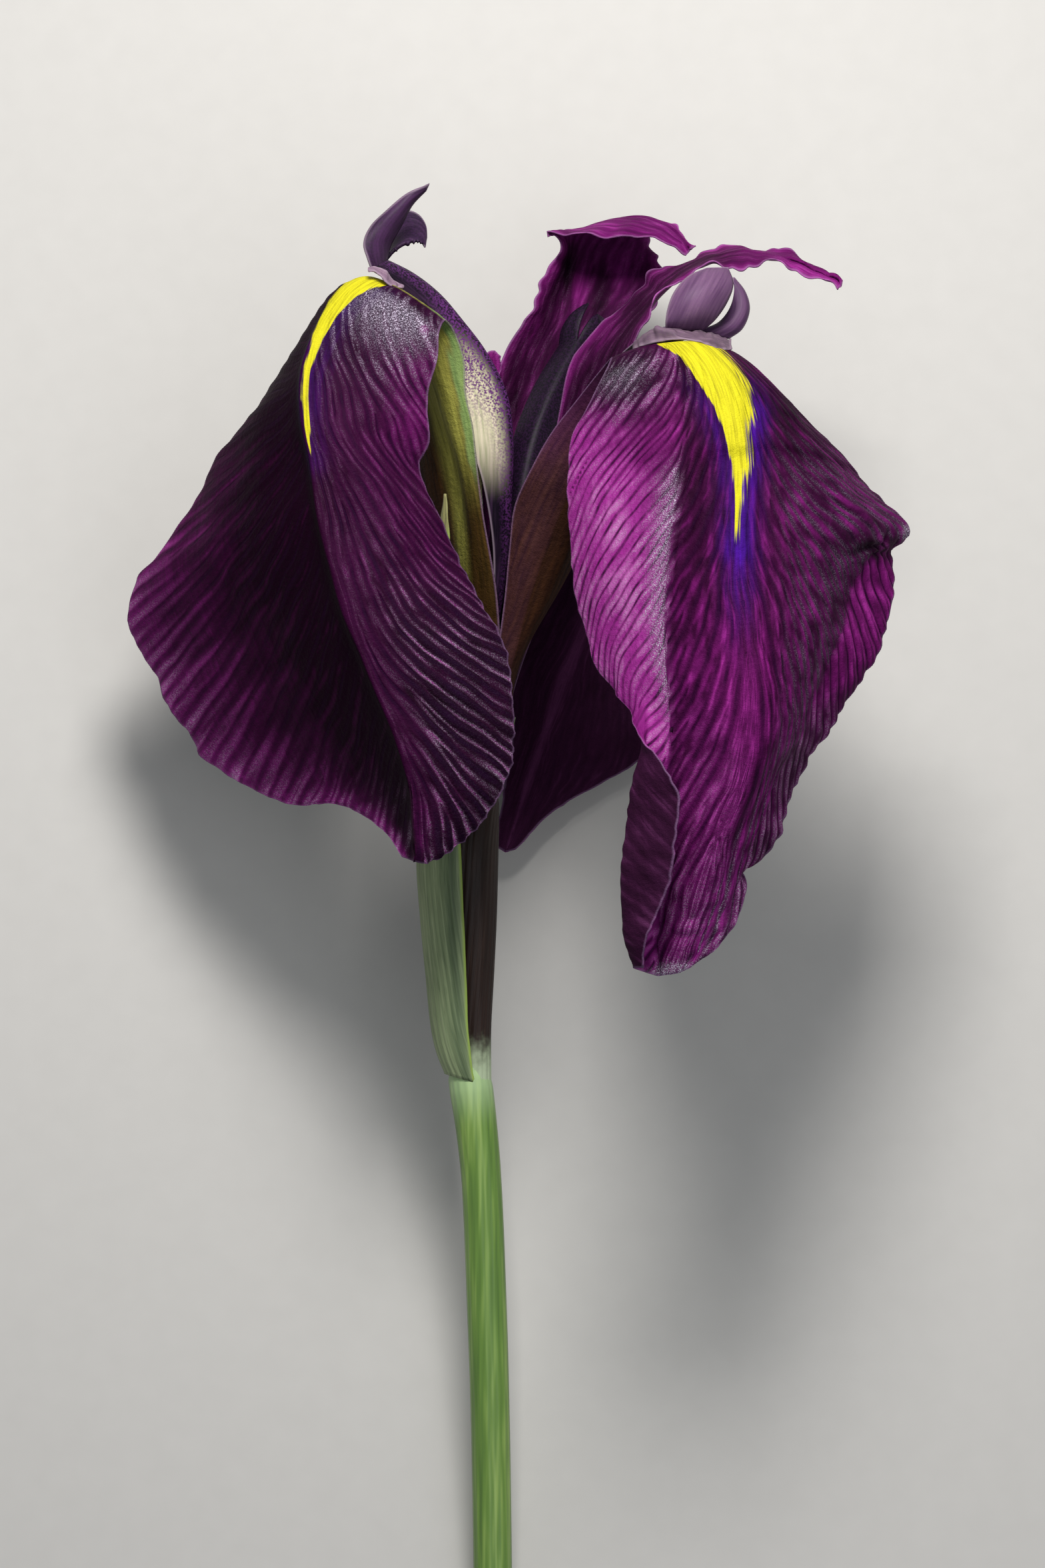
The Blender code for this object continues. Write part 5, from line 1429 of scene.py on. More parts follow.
def style_skin(name, stops):
    """Mauve tissue with fine lengthwise streaks, a cream zone, speckles and a painted rim highlight along its
    thin margin.
    """
    made, add = new_material(name, roughness=0.5, specular=0.12)
    place = add("TexCoord", output="Object")
    (_, along, over), (_, rim, _), (tone, cream, speckle) = point_values(add, "flow", "marks", "paint")
    streak = streaks(add, over, along, 0.08, 2.2, 3.0)
    mottle = add("Math MULTIPLY_ADD", [streak, 0.5, tone])
    colour = add("ValToRGB", [add("Math SUBTRACT", [mottle, 0.25])], stops=stops)
    pale = add("ValToRGB", [streak], stops=[(0.3, "#a9a987"), (0.7, "#dccfb6")])
    colour = add("Mix RGBA", {0: cream, 6: colour, 7: pale}, 2)
    dots = add("TexNoise", {"Vector": place, "Scale": 1 / SPECKLE, "Detail": 2.0})
    dots = add("Math MULTIPLY", [add("MapRange SMOOTHSTEP", [dots, 0.4, 0.62]), speckle])
    colour = add("Mix RGBA", {0: dots, 6: colour, 7: "#5a2a66"}, 2)
    # painted rim highlight: a pale line along the thin margin
    thin = add("MapRange SMOOTHSTEP", [rim, 0.08, 0.4, 0.3, 0.0])
    colour = add("Mix RGBA", {0: thin, 6: colour, 7: "#b9a3b4"}, 2)
    bump = add("Bump", {"Height": streak, "Distance": 0.1 * MM, "Strength": 0.5})
    return finish_skin(made, colour, bump)


MAUVE = [(0.0, "#0f0814"), (0.35, "#432a48"), (0.7, "#70526f"), (1.0, "#9e8399")]
style_top = style_skin("smooth mauve style", MAUVE)
style_under = style_skin("style underside", [(0.0, "#23142a"), (0.5, "#523857"), (1.0, "#86708a")])
style_skins = [style_top, style_under]

# %% [markdown]
# The arm is a net over three lines. Its end splits into the two lobes of the crest: each is a net
# between two lines, and its first row is half the arm's last row, so that no seam shows.

# %% Nets of a style arm
ARM_ROWS = 110
LOBE_ROWS = 60
ARM_COLUMNS = 36
STYLE_RING = 1.25


def style_nets(arm, front_lobe, back_lobe):
    """The arm's net from three lines, and a net for each crest lobe that grows from half its end.

    A lobe's row runs straight between its two lines, and bows by 4 * share * (1 - share) times the
    sine of pi * up. Near its foot it is drawn to the arm's last row by (1 - up) ** 3.
    """
    lines = [even_steps(smooth_path(line), ARM_ROWS + 1) for line in arm]
    roof = across(lines, [0.0, 0.5, 1.0], ARM_COLUMNS)
    half_way = ARM_COLUMNS // 2
    share = np.linspace(0.0, 1.0, half_way + 1)[None, :, None]
    up = np.linspace(0.0, 1.0, LOBE_ROWS + 1)[:, None, None]
    nets = [roof]
    for lobe, columns in ((front_lobe, slice(0, half_way + 1)), (back_lobe, slice(half_way, None))):
        seam = roof[-1, columns]
        edges = [
            even_steps(smooth_path([start] + list(line)), LOBE_ROWS + 1)
            for start, line in ((seam[0], lobe[0]), (seam[-1], lobe[1]))
        ]
        flat = edges[0][:, None] * (1 - share) + edges[1][:, None] * share
        bow = np.asarray(lobe[2]) * (4 * share * (1 - share)) * np.sin(np.pi * up)
        nets.append(flat + (1 - up) ** 3 * (seam - flat[0])[None] + bow)
    return nets


def fringed(net, height, seed):
    """A lobe whose first margin ends in small teeth: the margin pushed out where hills are high."""
    out = unit(net[:, :1] - net[:, 3:4])
    rows = np.arange(net.shape[0])[:, None]
    near = np.exp(-np.arange(net.shape[1]) / 1.6)[None, :]
    teeth = np.maximum(wander(rows / 2.1, 0 * rows + 3.3, seed), 0.0) * rise(4, 16, rows)
    return net + out * (height * teeth * near)[..., None]


print("an arm has", ARM_ROWS, "rows, a lobe", LOBE_ROWS)

# %% [markdown]
# `style` puts the arm and its lobes together as one sheet. The pale zone of the left arm's lower
# side is a soft mask, and so are its speckles.

# %% A style arm


def style_paint(chart, rim, shade, cream, speckle):
    """Attributes of style tissue: its tone, its cream share and how speckled it is."""
    none = 0 * chart.way
    return {
        "flow": (chart.way, chart.along, chart.over),
        "marks": (none, rim, chart.spread),
        "paint": (shade + none, cream + none, speckle + none),
    }


def style(name, node, arm, front_lobe, back_lobe, tone, lobe_tone, cream_face=False, fringe=0.0, shaded=0.0):
    """A style arm with its crest; cream_face paints the pale zone on its lower side.

    shaded moves the painted rim highlight outwards by so many mm, off an arm that lies deep in shade.
    """
    nets = style_nets(arm, front_lobe, back_lobe)
    if fringe:
        nets[2] = fringed(nets[2], fringe, 5)
    painted = []
    for part, net in enumerate(nets):
        chart = PetalMap(net, 1)
        rim = np.abs(chart.over[:, -1:]) * (1 - np.abs(chart.side))
        if part:
            inner = chart.side if part == 1 else -chart.side
            rim = np.minimum(chart.rim + 4 * rise(-0.6, 1.0, inner) * (1 - chart.blade), 9.0)
        # tone and lobe_tone paint each arm lighter or darker: painted light on the right arm, painted shade
        # on the back arm
        shade = (lobe_tone[part - 1] if part else tone) + 0.12 * wander(chart.along / 5, chart.over / 2, 7)
        cream, speckle = 0.0, 0.12
        if cream_face and part == 0:
            y = net[..., 1]
            cream = rise(-0.15, -0.55, chart.side) * rise(51.0, 41.0, y) * rise(25.0, 36.0, y)
            speckle = rise(34.0, 44.0, y) * rise(55.0, 48.0, y) + 0.7 * rise(-0.75, -0.3, chart.side)
            speckle = speckle * rise(0.5, -0.2, chart.side)
        painted.append(style_paint(chart, rim + shaded, shade, cream, np.clip(speckle, 0, 1)))
    sheet(name, nets, painted, 0.5, style_skins, node, thin=0.4)


print("an arm's net is", ARM_COLUMNS, "faces wide")

# %% [markdown]
# Under the crests of the two front arms sits a small crinkled lip, the stigma, which takes up the
# pollen. It is a net over three short lines.

# %% A lip
LIP_ROWS = 80


def lip(name, lines, tone, seed):
    """The small crinkled flap under a crest: a net over its lines, with 0.2 mm hills."""
    lines = [even_steps(smooth_path(line), LIP_ROWS + 1) for line in lines]
    net = across(lines, np.linspace(0, 1, len(lines)), 24)
    chart = PetalMap(net, 1)
    hills = 0.22 * wander(chart.along / 0.7, chart.over / 1.3, seed)
    shape = net + normals(net) * hills[..., None]
    paint = style_paint(chart, chart.rim * 0.6, tone, 0.1, 0.15)
    sheet(name, [shape], [paint], 0.4, style_skins, None, thin=0.5)


print("a lip has", LIP_ROWS, "rows")

# %% [markdown]
# The left arm lies over the left fall's haft. Its crest curls back in two lobes, and the margin of
# the back one is fringed.

# %% Left style arm and its lip
style(
    "style_left_arm",
    "style_left",
    [
        [ring_point(STYLE_RING, 132), (-3.4, 7, 2.2), (-2.9, 18, 3.0), (-4.4, 28, 4.0), (-6.2, 34, 4.6),
         (-7.4, 40, 4.8), (-9.0, 46, 5.0), (-11.4, 50.2, 5.2), (-14.0, 53.4, 5.8), (-16.8, 55.8, 6.9),
         (-20.0, 57.8, 8.4)],
        [ring_point(STYLE_RING, 170), (-2.6, 7, 0.5), (-1.0, 18, 0.8), (-0.4, 28, 1.1), (-0.3, 34, 1.3),
         (-1.2, 40.5, 1.5), (-4.1, 46.4, 1.9), (-7.4, 50.8, 2.4), (-10.6, 54.5, 3.0),
         (-14.2, 57.3, 3.6), (-18.1, 59.3, 4.0)],
        [ring_point(STYLE_RING, 208), (-3.5, 7, -1.3), (-2.9, 18, -1.8), (-3.9, 28, -2.2), (-5.0, 34, -2.4),
         (-5.8, 40, -2.6), (-7.8, 46, -2.8), (-10.6, 50.8, -2.8), (-13.8, 54.6, -2.6),
         (-16.8, 57.2, -2.0), (-19.2, 58.4, -1.0)],
    ],
    ([(-20.6, 59.4, 8.4), (-21.2, 61.6, 7.8), (-20.2, 64.0, 6.8), (-18.0, 66.2, 6.2), (-15.0, 68.7, 5.6),
      (-11.9, 70.1, 5.2)],
     [(-17.5, 61.4, 4.4), (-16.0, 64.2, 4.4), (-14.5, 67.0, 4.4), (-12.4, 69.1, 4.6)],
     (0.3, 0.0, 1.1)),
    ([(-17.2, 60.4, 3.4), (-15.9, 61.4, 2.8), (-14.4, 62.0, 2.2), (-13.2, 62.0, 1.8), (-12.5, 61.2, 1.6)],
     [(-19.0, 61.2, -1.4), (-17.6, 64.6, -1.8), (-15.2, 66.5, -1.8), (-13.5, 66.0, -1.4),
      (-12.4, 64.4, -0.6), (-12.3, 62.6, 0.4)],
     (0.2, 0.2, -0.8)),
    0.02,
    (0.22, 0.02),
    cream_face=True,
    fringe=0.7,
)
lip(
    "style_left_lip",
    [
        [(-20.4, 58.0, 8.2), (-19.2, 58.2, 8.3), (-18.0, 57.7, 8.2), (-17.0, 56.6, 7.4), (-15.6, 55.6, 6.6)],
        [(-20.5, 57.8, 9.0), (-19.2, 57.7, 9.4), (-18.3, 57.0, 9.4), (-17.4, 56.0, 8.8), (-15.6, 55.5, 7.0)],
        [(-20.3, 57.5, 9.2), (-19.2, 57.4, 9.8), (-18.3, 56.4, 10.0), (-17.4, 55.6, 9.4), (-15.8, 55.3, 7.2)],
    ],
    0.7,
    3,
)

# %% [markdown]
# The right arm faces the key light, and its tones are painted lighter than the other arms' as painted light.
# Its crest stands up.

# %% Right style arm and its lip
style(
    "style_right_arm",
    "style_right",
    [
        [ring_point(STYLE_RING, 88), (-1.8, 7, 3.2), (0.9, 19, 5.0), (3.0, 27, 6.2), (5.8, 33.4, 8.2),
         (9.6, 39.4, 10.8), (13.6, 44.4, 13.6), (17.6, 47.8, 17.6), (21.2, 49.0, 20.8)],
        [ring_point(STYLE_RING, 50), (-1.1, 7, 1.8), (2.0, 19, 3.4), (4.6, 28, 5.2), (8.0, 35, 7.6),
         (12.0, 41.2, 10.4), (16.4, 46.2, 13.4), (21.2, 49.4, 16.4), (26.2, 49.0, 19.4)],
        [ring_point(STYLE_RING, 12), (-0.8, 7, 0.7), (3.6, 19, 1.6), (7.2, 28, 3.0), (11.0, 35, 5.4),
         (15.2, 41, 8.0), (19.8, 45.8, 11.2), (25.0, 48.2, 14.2), (30.2, 48.0, 17.0)],
    ],
    ([(21.2, 50.4, 21.8), (21.6, 52.4, 21.8), (22.5, 54.5, 21.2), (24.4, 56.6, 20.0), (27.0, 57.8, 18.8)],
     [(28.2, 50.8, 20.4), (29.8, 53.2, 20.0), (30.6, 55.6, 19.2), (30.0, 57.9, 18.0)],
     (0.0, 0.0, 1.8)),
    ([(28.8, 50.2, 17.0), (30.4, 52.4, 15.8), (30.9, 54.8, 15.0), (30.6, 56.6, 14.4)],
     [(32.0, 49.4, 16.4), (33.0, 52.2, 15.2), (32.4, 54.6, 14.4), (30.9, 56.6, 13.8)],
     (0.5, 0.0, 0.6)),
    0.26,
    (0.56, 0.4),
)
lip(
    "style_right_lip",
    [
        [(17.0, 46.9, 17.4), (19.4, 48.5, 19.2), (21.6, 49.1, 20.8), (24.0, 49.0, 20.6), (26.4, 48.9, 19.8),
         (30.4, 47.8, 17.2)],
        [(16.6, 47.0, 18.4), (18.2, 48.5, 20.4), (19.9, 49.3, 22.0), (21.6, 48.8, 23.2), (24.4, 48.0, 24.2),
         (27.6, 48.0, 22.8), (30.4, 47.0, 19.4)],
        [(16.6, 46.3, 18.8), (18.4, 46.9, 21.2), (20.6, 47.4, 23.0), (23.4, 47.7, 24.8), (26.2, 47.2, 25.0),
         (28.6, 46.2, 23.0), (30.5, 46.4, 20.0)],
    ],
    0.46,
    9,
)

# %% [markdown]
# The back arm lies deep in shade, and its tones are painted dark as painted shade. Its foot is hidden, and
# its crest is small.

# %% Back style arm
style(
    "style_back_arm",
    "style_back",
    [
        [ring_point(STYLE_RING, 252), (-3.6, 6, -3.0), (-2.4, 19, -5.8), (-1.4, 28, -8.0),
         (0.4, 36, -11.0), (3.2, 42.6, -14.6), (6.4, 47.8, -18.4)],
        [ring_point(STYLE_RING, 290), (-2.6, 6, -2.2), (-0.2, 19, -4.0), (1.2, 28, -6.0),
         (3.2, 36, -8.8), (6.0, 43, -12.6), (9.0, 48.6, -16.4)],
        [ring_point(STYLE_RING, 328), (-1.4, 6, -2.8), (2.2, 19, -5.4), (4.0, 28, -7.6),
         (6.2, 36, -10.8), (9.2, 42.8, -14.6), (12.0, 47.6, -18.2)],
    ],
    ([(6.8, 50.2, -19.2), (8.2, 52.4, -19.6), (9.8, 53.6, -19.8)],
     [(9.4, 50.8, -17.6), (10.0, 52.6, -18.4), (10.6, 53.9, -19.2)],
     (0.0, 0.0, 0.4)),
    ([(10.0, 50.4, -17.4), (11.0, 51.8, -18.4), (11.8, 52.4, -19.2)],
     [(12.4, 49.4, -18.8), (12.8, 50.8, -19.4), (12.7, 51.8, -19.8)],
     (0.0, 0.0, 0.4)),
    -0.12,
    (-0.08, -0.08),
    shaded=0.3,
)

# %% [markdown]
# The bracts are leaves: their veins run lengthwise and parallel, so the material streaks them from
# foot to tip, in streaks of 0.4 mm and lines of 0.1 mm. A thin coat of wax makes them shine a
# little more than the petals.

# %% Bract skins
BLOTCH = 1.1 * MM


def bract_skin(name, stops, edge_colour, dry_colour, line_colour):
    """A leaf with fine parallel lines; paint holds a shade, the edge's share and the dry share."""
    made, add = new_material(name, roughness=0.5, specular=0.25)
    place = add("TexCoord", output="Object")
    (_, along, over), (shade, edge, dry) = point_values(add, "flow", "paint")
    streak = streaks(add, over, along, 0.03, 2.6, 3.0)
    fine = streaks(add, over, along, 0.03, 9.0, 1.0)
    mottle = add("Math MULTIPLY_ADD", [streak, 0.8, shade])
    colour = add("ValToRGB", [add("Math SUBTRACT", [mottle, 0.4])], stops=stops)
    lines = add("MapRange SMOOTHSTEP", [fine, 0.55, 0.7, 0.0, 0.3])
    colour = add("Mix RGBA", {0: lines, 6: colour, 7: line_colour}, 2)
    colour = add("Mix RGBA", {0: edge, 6: colour, 7: edge_colour}, 2)
    blotches = add("TexNoise", {"Vector": place, "Scale": 1 / BLOTCH, "Detail": 2.0})
    patchy = add("Math MULTIPLY_ADD", [blotches, 0.5, dry])
    share = add("MapRange SMOOTHSTEP", [patchy, 0.4, 1.2])
    colour = add("Mix RGBA", {0: share, 6: colour, 7: dry_colour}, 2)
    height = add("Math MULTIPLY_ADD", [fine, 0.5, streak])
    bump = add("Bump", {"Height": height, "Distance": 0.12 * MM, "Strength": 0.6})
    return finish_skin(made, colour, bump)


green_skin = bract_skin(
    "waxy green bract", [(0.0, "#33402a"), (0.4, "#5f6f50"), (0.7, "#87956f"), (1.0, "#adb792")],
    "#8fa84c", "#8d8a5c", "#33422b",
)
shaded_purple_skin = bract_skin(
    "dark purple bract", [(0.0, "#100a07"), (0.5, "#291b16"), (0.8, "#46332a"), (1.0, "#6b5748")],
    "#4b3a2c", "#a9b898", "#100807",
)

# %% [markdown]
# A bract is a sheath round the flower's foot. Each row is an arc about its own centre, read from
# short tables by height: centre, radius, and the azimuths where the arc starts and ends.

# %% A bract
BRACT_ROWS = 160
BRACT_COLUMNS = 72
BRACT_RIB_STEP = 0.9


def bract(name, node, heights, centres, radii, starts, ends, skin, shade, edge, dry, tuck=0.0):
    """A sheath: each row is an arc about its centre; tuck draws its edges in under the other one.

    x = centre + radius * cos(azimuth) and z = 0.92 * radius * sin(azimuth). Near the foot the rows
    sag by 1 mm * cos(azimuth), so that the foot ends in a slanting curve.
    """
    share = np.linspace(0.0, 1.0, BRACT_COLUMNS + 1)[None, :]
    fold = np.clip((np.abs(2 * share - 1) - 0.5) / 0.3, 0.0, 1.0)
    height = np.linspace(heights[0], heights[-1], BRACT_ROWS + 1)
    read = [smooth_path(np.stack([heights, line], axis=1)) for line in (centres, radii, starts, ends)]
    middle, reach, low, high = [np.interp(height, r[:, 0], r[:, 1])[:, None] for r in read]
    azimuth = np.radians(low + (high - low) * share)
    reach = reach - tuck * fold
    sag = rise(-50.0, -56.0, height)[:, None] * np.cos(azimuth)
    depth = 0.92 * reach * np.sin(azimuth)
    net = np.stack([middle + reach * np.cos(azimuth), height[:, None] - sag, depth], axis=2)
    chart = PetalMap(net, 1)
    painted = {
        "flow": (chart.way, chart.along, chart.over),
        "marks": (0 * chart.way, chart.rim, chart.spread),
        "paint": (shade(net, chart), edge(net, chart), dry(net, chart)),
    }
    ridges = 0.05 * np.cos(2 * np.pi * chart.over / BRACT_RIB_STEP)
    shape = net + normals(net) * ridges[..., None]
    sheet(name, [shape], [painted], 0.5, [skin], node, thin=0.5)


print("a bract has a rib every", BRACT_RIB_STEP, "mm")

# %% [markdown]
# The outer bract is grey green with a bloom of wax, a yellow-green edge and a dry tip.

# %% Outer bract
bract(
    "spathe_outer_leaf",
    "spathe_outer",
    [-56.2, -54.0, -49.0, -41.4, -33.0, -25.0, -12.0, 0.0, 12.0, 20.0, 26.5],
    [-6.4, -6.8, -7.35, -7.6, -7.8, -7.9, -7.4, -6.8, -6.4, -6.2, -6.0],
    [3.1, 3.5, 4.05, 4.6, 5.2, 5.6, 5.6, 5.1, 4.6, 4.2, 4.1],
    [74, 75, 77, 79, 82, 85, 98, 112, 126, 134, 151],
    [284, 283, 282, 281, 280, 276, 262, 236, 202, 180, 157],
    green_skin,
    lambda net, chart: 0.66 - 0.32 * bell(chart.side + 0.82, 0.12) - 0.2 * rise(0.0, 20.0, net[..., 1]),
    lambda net, chart: rise(0.45, 0.1, chart.rim) * (chart.side < 0),
    lambda net, chart: 1.1 * rise(18.0, 24.0, net[..., 1]),
)

# %% [markdown]
# The inner bract is dark purple brown, darkened further as painted shade, for it lies in the shade of the
# outer bract and the left fall; it is pale at its foot. It is tucked in under the outer one.

# %% Inner bract
bract(
    "spathe_inner_leaf",
    "spathe_inner",
    [-55.6, -49.0, -41.4, -33.0, -25.0, -20.0, -16.0],
    [-6.5, -7.0, -7.2, -7.5, -7.9, -7.8, -7.6],
    [3.02, 3.5, 4.1, 4.8, 5.4, 5.4, 5.2],
    [-98, -98, -98, -98, -96, -92, -86],
    [104, 104, 104, 104, 100, 84, 56],
    shaded_purple_skin,
    lambda net, chart: 0.42 + 0 * net[..., 0],
    lambda net, chart: rise(0.4, 0.1, chart.rim) * 0.5,
    lambda net, chart: rise(-46.5, -57.0, net[..., 1]),
    tuck=1.1,
)

# %% [markdown]
# The stem, the ovary with its tube and the stamens are rods. A tube of rings swept along a path
# makes each; an end is a fan of rings drawn in to the middle.

# %% Rings along a path


def sweep(path, radii, sides, ribs=0, rib_height=0.0):
    """Rings of points round a path, each in the plane that the path's tangent is normal to.

    A point is the path's own plus reach * (cos(turn) * right + sin(turn) * front), where reach is
    the radius * (1 + rib_height * cos(ribs * turn)).
    """
    tangent = unit(np.gradient(path, axis=0))
    right = unit(np.cross(tangent, (0.0, 0.0, 1.0)))
    front = np.cross(right, tangent)
    turn = np.linspace(0.0, 2 * np.pi, sides, endpoint=False)[None, :]
    reach = np.asarray(radii)[:, None] * (1 + rib_height * np.cos(ribs * turn))
    return (
        path[:, None]
        + (reach * np.cos(turn))[..., None] * right[:, None]
        + (reach * np.sin(turn))[..., None] * front[:, None]
    )


def cap(rings, end, inward, caps, dome):
    """Rings that close an end, from the widest inwards, and the point they end in."""
    middle = rings[end].mean(axis=0)
    out = unit(middle - rings[inward].mean(axis=0))
    size = np.linalg.norm(rings[end] - middle, axis=1).mean()
    inner = [
        middle + (rings[end] - middle) * (1 - k / (caps + 1)) + out * size * dome * (k / (caps + 1))
        for k in range(1, caps + 1)
    ]
    return np.stack(inner), middle + out * size * dome


print("a ring of 72 points round a 3 mm rod has one every", round(2 * math.pi * 3 / 72, 2), "mm")

# %% [markdown]
# Each point of a rod stores how far along it lies, whether it lies on the cut foot, and how far
# out from the foot's middle. The material reads these three.

# %% A rod
SHARP_ANGLE = math.radians(55)


def rod(name, rings, skin, node, caps=4, dome=0.15):
    """A closed rod from rings; each end is closed by smaller rings that end in one point."""
    foot_rings, first = cap(rings, 0, 1, caps, dome)
    tip_rings, last = cap(rings, -1, -2, caps, dome)
    net = np.concatenate([foot_rings[::-1], rings, tip_rings])
    rows, sides = net.shape[:2]
    index = np.arange(rows * sides).reshape(rows, sides)
    after = np.roll(index, -1, axis=1)
    quads = np.stack([index[:-1], after[:-1], after[1:], index[1:]], axis=-1).reshape(-1, 4).tolist()
    foot, tip = rows * sides, rows * sides + 1
    quads += [(foot, b, a) for a, b in zip(index[0], after[0])]
    quads += [(tip, a, b) for a, b in zip(index[-1], after[-1])]
    mesh = bpy.data.meshes.new(name)
    mesh.from_pydata(to_world(np.vstack([net.reshape(-1, 3), first, last])), [], quads)
    along = np.repeat(np.arange(rows) / (rows - 1), sides)
    cut = np.repeat((np.arange(rows) < caps).astype(float), sides)
    depth = np.repeat(np.concatenate([np.arange(caps) / caps, np.ones(rows - caps)]), sides)
    ends = [np.append(along, (0, 1)), np.append(cut, (1, 0)), np.append(depth, (0, 1))]
    keep_numbers(mesh, "rod", np.stack(ends, axis=1))
    turn_faces(mesh)
    mesh.materials.append(skin)
    mesh.shade_smooth()
    mesh.set_sharp_from_angle(angle=SHARP_ANGLE)
    settle(bpy.data.objects.new(name, mesh), node)


print("edges sharper than", round(math.degrees(SHARP_ANGLE)), "degrees stay sharp")

# %% [markdown]
# The stem is a round scape, a little ribbed, with fibres of 0.65 mm and a paler zone near its
# node. Its waxy skin shines more than any petal. Its foot is a clean cut, where the pale pith and
# a ring of darker vessels show.

# %% Stem skin
FIBRE = 0.65 * MM
VESSEL = 0.4 * MM

stem_green, add = new_material("fresh green stem", roughness=0.4, specular=0.4)
place = add("TexCoord", output="Object")
((along, cut, depth),) = point_values(add, "rod")
upright = add("Mapping", {"Vector": place, "Rotation": (-TIP_ANGLE, 0.0, 0.0)})
lengthwise = add("Mapping", {"Vector": upright, "Scale": (1.0, 0.05, 1.0)})
streak = add("TexNoise", {"Vector": lengthwise, "Scale": 1 / FIBRE, "Detail": 1.0})
broad = add("TexNoise", {"Vector": lengthwise, "Scale": 1 / (4 * FIBRE), "Detail": 0.0})
both = add("Mix", {0: 0.3, 2: streak, 3: broad})
colour = add("ValToRGB", [both], stops=[(0.3, "#577737"), (0.5, "#68893e"), (0.7, "#8aa656")])
near_node = add("MapRange SMOOTHSTEP", [along, 0.87, 0.96, 0.0, 0.5])
colour = add("Mix RGBA", {0: near_node, 6: colour, 7: "#bcd6aa"}, 2)
vessels = add("TexNoise", {"Vector": place, "Scale": 1 / VESSEL, "Detail": 1.0})
pith = add("ValToRGB", [vessels], stops=[(0.5, "#c9d3a0"), (0.62, "#a2b578")])
skin_share = add("MapRange SMOOTHSTEP", [depth, 0.6, 0.9])
pith = add("Mix RGBA", {0: skin_share, 6: pith, 7: "#6f9448"}, 2)
colour = add("Mix RGBA", {0: cut, 6: colour, 7: pith}, 2)
finish_skin(stem_green, colour, add("Bump", {"Height": streak, "Distance": 0.1 * MM, "Strength": 0.5}))

# %% [markdown]
# The stem's radii are read by height and the tube's by length. Ribs are a cosine round the ring:
# 18 faint ones on the stem and 6 on the ovary.

# %% Stem, ovary and tube
STEM_LINE = [
    (-2.9, -140.0, 0.0), (-3.0, -124.9, 0.0), (-3.4, -101.7, 0.0), (-3.8, -89.1, 0.0),
    (-4.6, -70.2, 0.0), (-5.3, -62.8, 0.0), (-6.0, -57.6, 0.0), (-6.3, -55.8, 0.0), (-6.6, -53.4, 0.0),
]
STEM_RADII = [2.65, 2.68, 2.72, 2.78, 2.78, 2.9, 3.05, 2.95, 2.3]
TUBE_LINE = [
    (-6.45, -55.4, 0.0), (-6.7, -50.0, 0.0), (-7.0, -42.0, 0.0), (-7.2, -32.0, 0.0),
    (-6.9, -22.0, 0.0), (-5.8, -15.0, 0.0), (-4.7, -11.0, 0.0), (-4.3, -8.6, 0.0),
    (-4.3, -7.2, 0.0), (-4.3, -6.0, 0.0), (*TUBE_TOP, 0.0),
]
TUBE_RADII = [0.8, 1.3, 2.1, 2.7, 2.3, 1.9, 2.0, 2.6, 3.4, 4.2, 4.4]
STEM_STEPS = 220

stem_path = even_steps(smooth_path(STEM_LINE), STEM_STEPS)
stem_radii = np.interp(stem_path[:, 1], [p[1] for p in STEM_LINE], STEM_RADII)
rod("stem_scape", sweep(stem_path, stem_radii, 72, 18, 0.012), stem_green, "stem", dome=0.02)

tube_path = smooth_path(TUBE_LINE, 8)
tube_radii = np.interp(lengths(tube_path), lengths(tube_path)[::8], TUBE_RADII)
rod("ovary_and_tube", sweep(tube_path, tube_radii, 60, 6, 0.03), stem_green, "ovary_tube", dome=0.02)

# %% [markdown]
# A stamen is a thin filament with a long cream anther, dull with grains of pollen, drawn as grains
# of 0.3 mm so that they show. Real ones are about 0.1 mm.

# %% Anther skin
POLLEN = 0.3 * MM

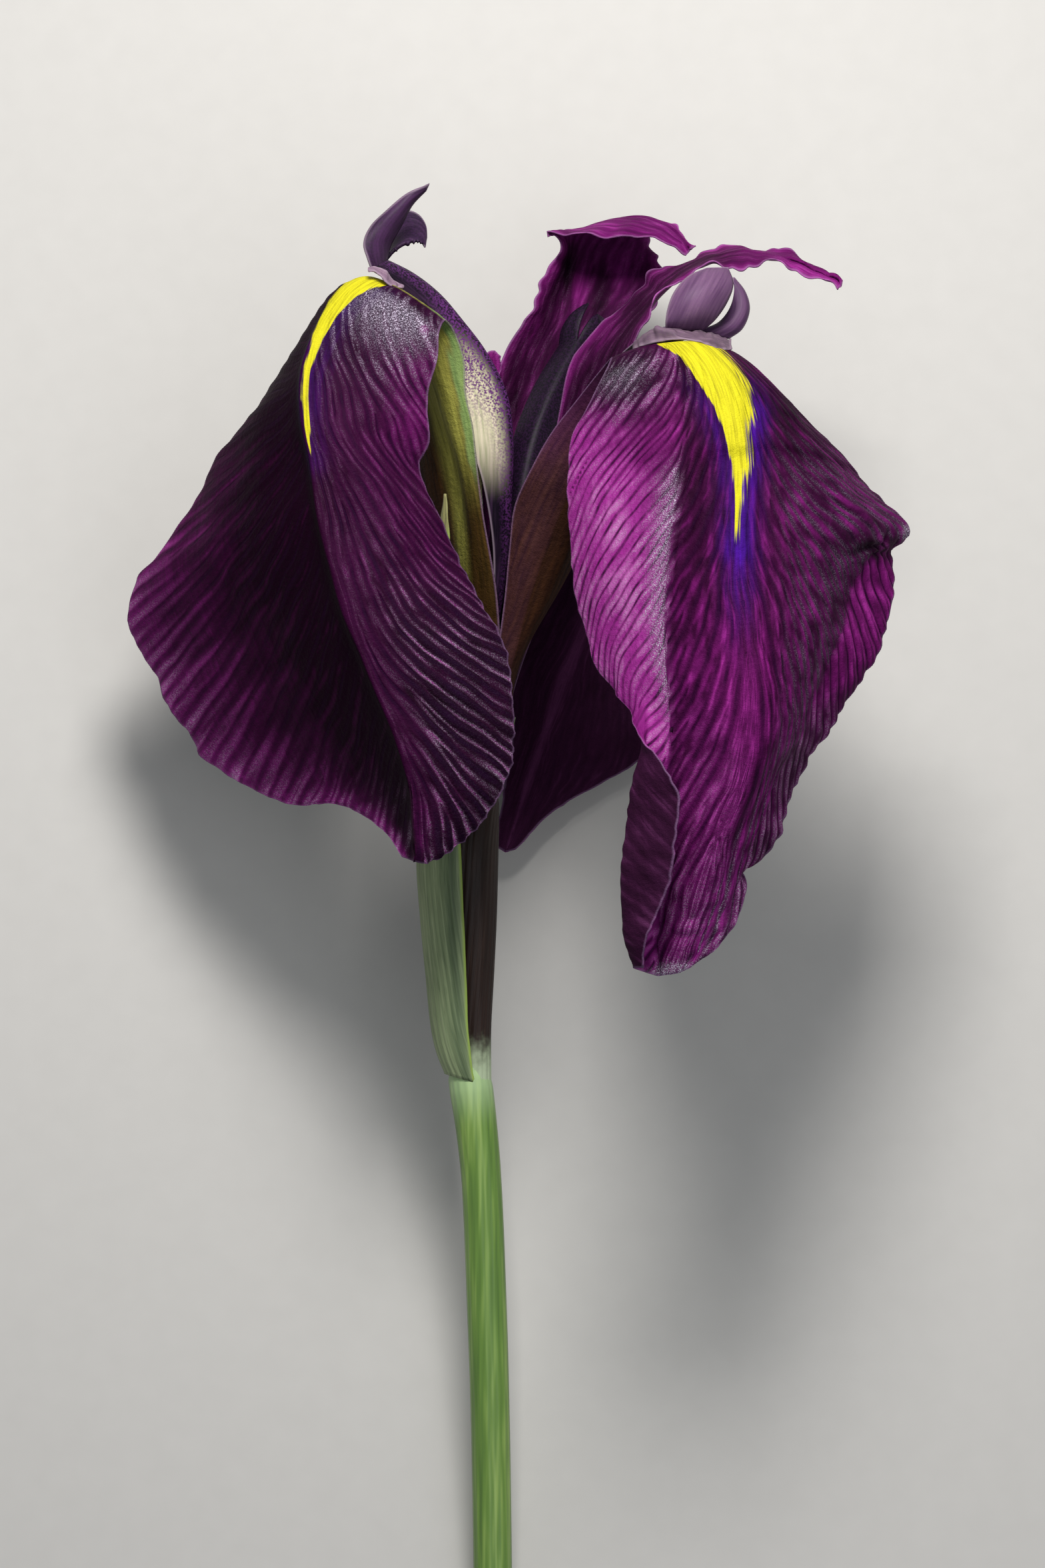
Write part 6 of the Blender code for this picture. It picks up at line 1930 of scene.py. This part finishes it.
anther_cream, add = new_material("pollen-dusted anther", roughness=0.75)
place = add("TexCoord", output="Object")
((along, _, _),) = point_values(add, "rod")
dust = add("TexNoise", {"Vector": place, "Scale": 1 / POLLEN, "Detail": 2.0})
pollen = add("ValToRGB", [dust], stops=[(0.35, "#a99a5c"), (0.6, "#e0d7a4")])
share = add("MapRange SMOOTHSTEP", [along, 0.58, 0.64])
colour = add("Mix RGBA", {0: share, 6: "#d9d2d6", 7: pollen}, 2)
finish_skin(anther_cream, colour, add("Bump", {"Height": dust, "Distance": 0.15 * MM, "Strength": 0.8}))

# %% [markdown]
# One stamen lies under each style arm. A groove runs down the anther, between its two halves.

# %% Stamens
STAMEN_RING = 2.4
STAMEN_STEPS = 120
STAMEN_SIDES = 24


def stamen(name, node, azimuth, *places):
    """A thin filament with a long anther, grooved by 22 % of its radius * |cos(turn)| ** 8."""
    path = even_steps(smooth_path([ring_point(STAMEN_RING, azimuth), *places]), STAMEN_STEPS)
    share = np.linspace(0.0, 1.0, STAMEN_STEPS)
    radii = np.interp(share, [0.0, 0.62, 0.68, 0.8, 0.96, 1.0], [0.45, 0.45, 0.95, 1.1, 0.9, 0.5])
    middle = path[:, None]
    turn = np.linspace(0.0, 2 * np.pi, STAMEN_SIDES, endpoint=False)[None, :, None]
    groove = 1 - 0.22 * rise(0.64, 0.72, share)[:, None, None] * np.abs(np.cos(turn)) ** 8
    rings = middle + (sweep(path, radii, STAMEN_SIDES) - middle) * groove
    rod(name, rings, anther_cream, node, caps=2, dome=0.5)


stamen("stamen_left_rod", "stamen_left", 170, (-5.1, 6, 0.6), (-4.6, 17, 0.8), (-5.0, 27, 1.0),
       (-6.0, 33, 1.1), (-7.6, 39, 1.2), (-9.8, 45, 1.4))
stamen("stamen_right_rod", "stamen_right", 50, (-0.4, 6, 3.3), (3.2, 16, 5.2), (7.4, 26, 7.8),
       (10.6, 32.5, 10.4), (14.0, 38, 13.2), (17.6, 43, 16.4))
stamen("stamen_back_rod", "stamen_back", 290, (-1.7, 6, -4.8), (1.0, 16, -7.6), (3.2, 25, -10.2),
       (4.4, 29, -11.4), (5.8, 33.5, -13.2), (7.4, 37.6, -15.4))

# %% Finish
print("pieces:", len(pieces))
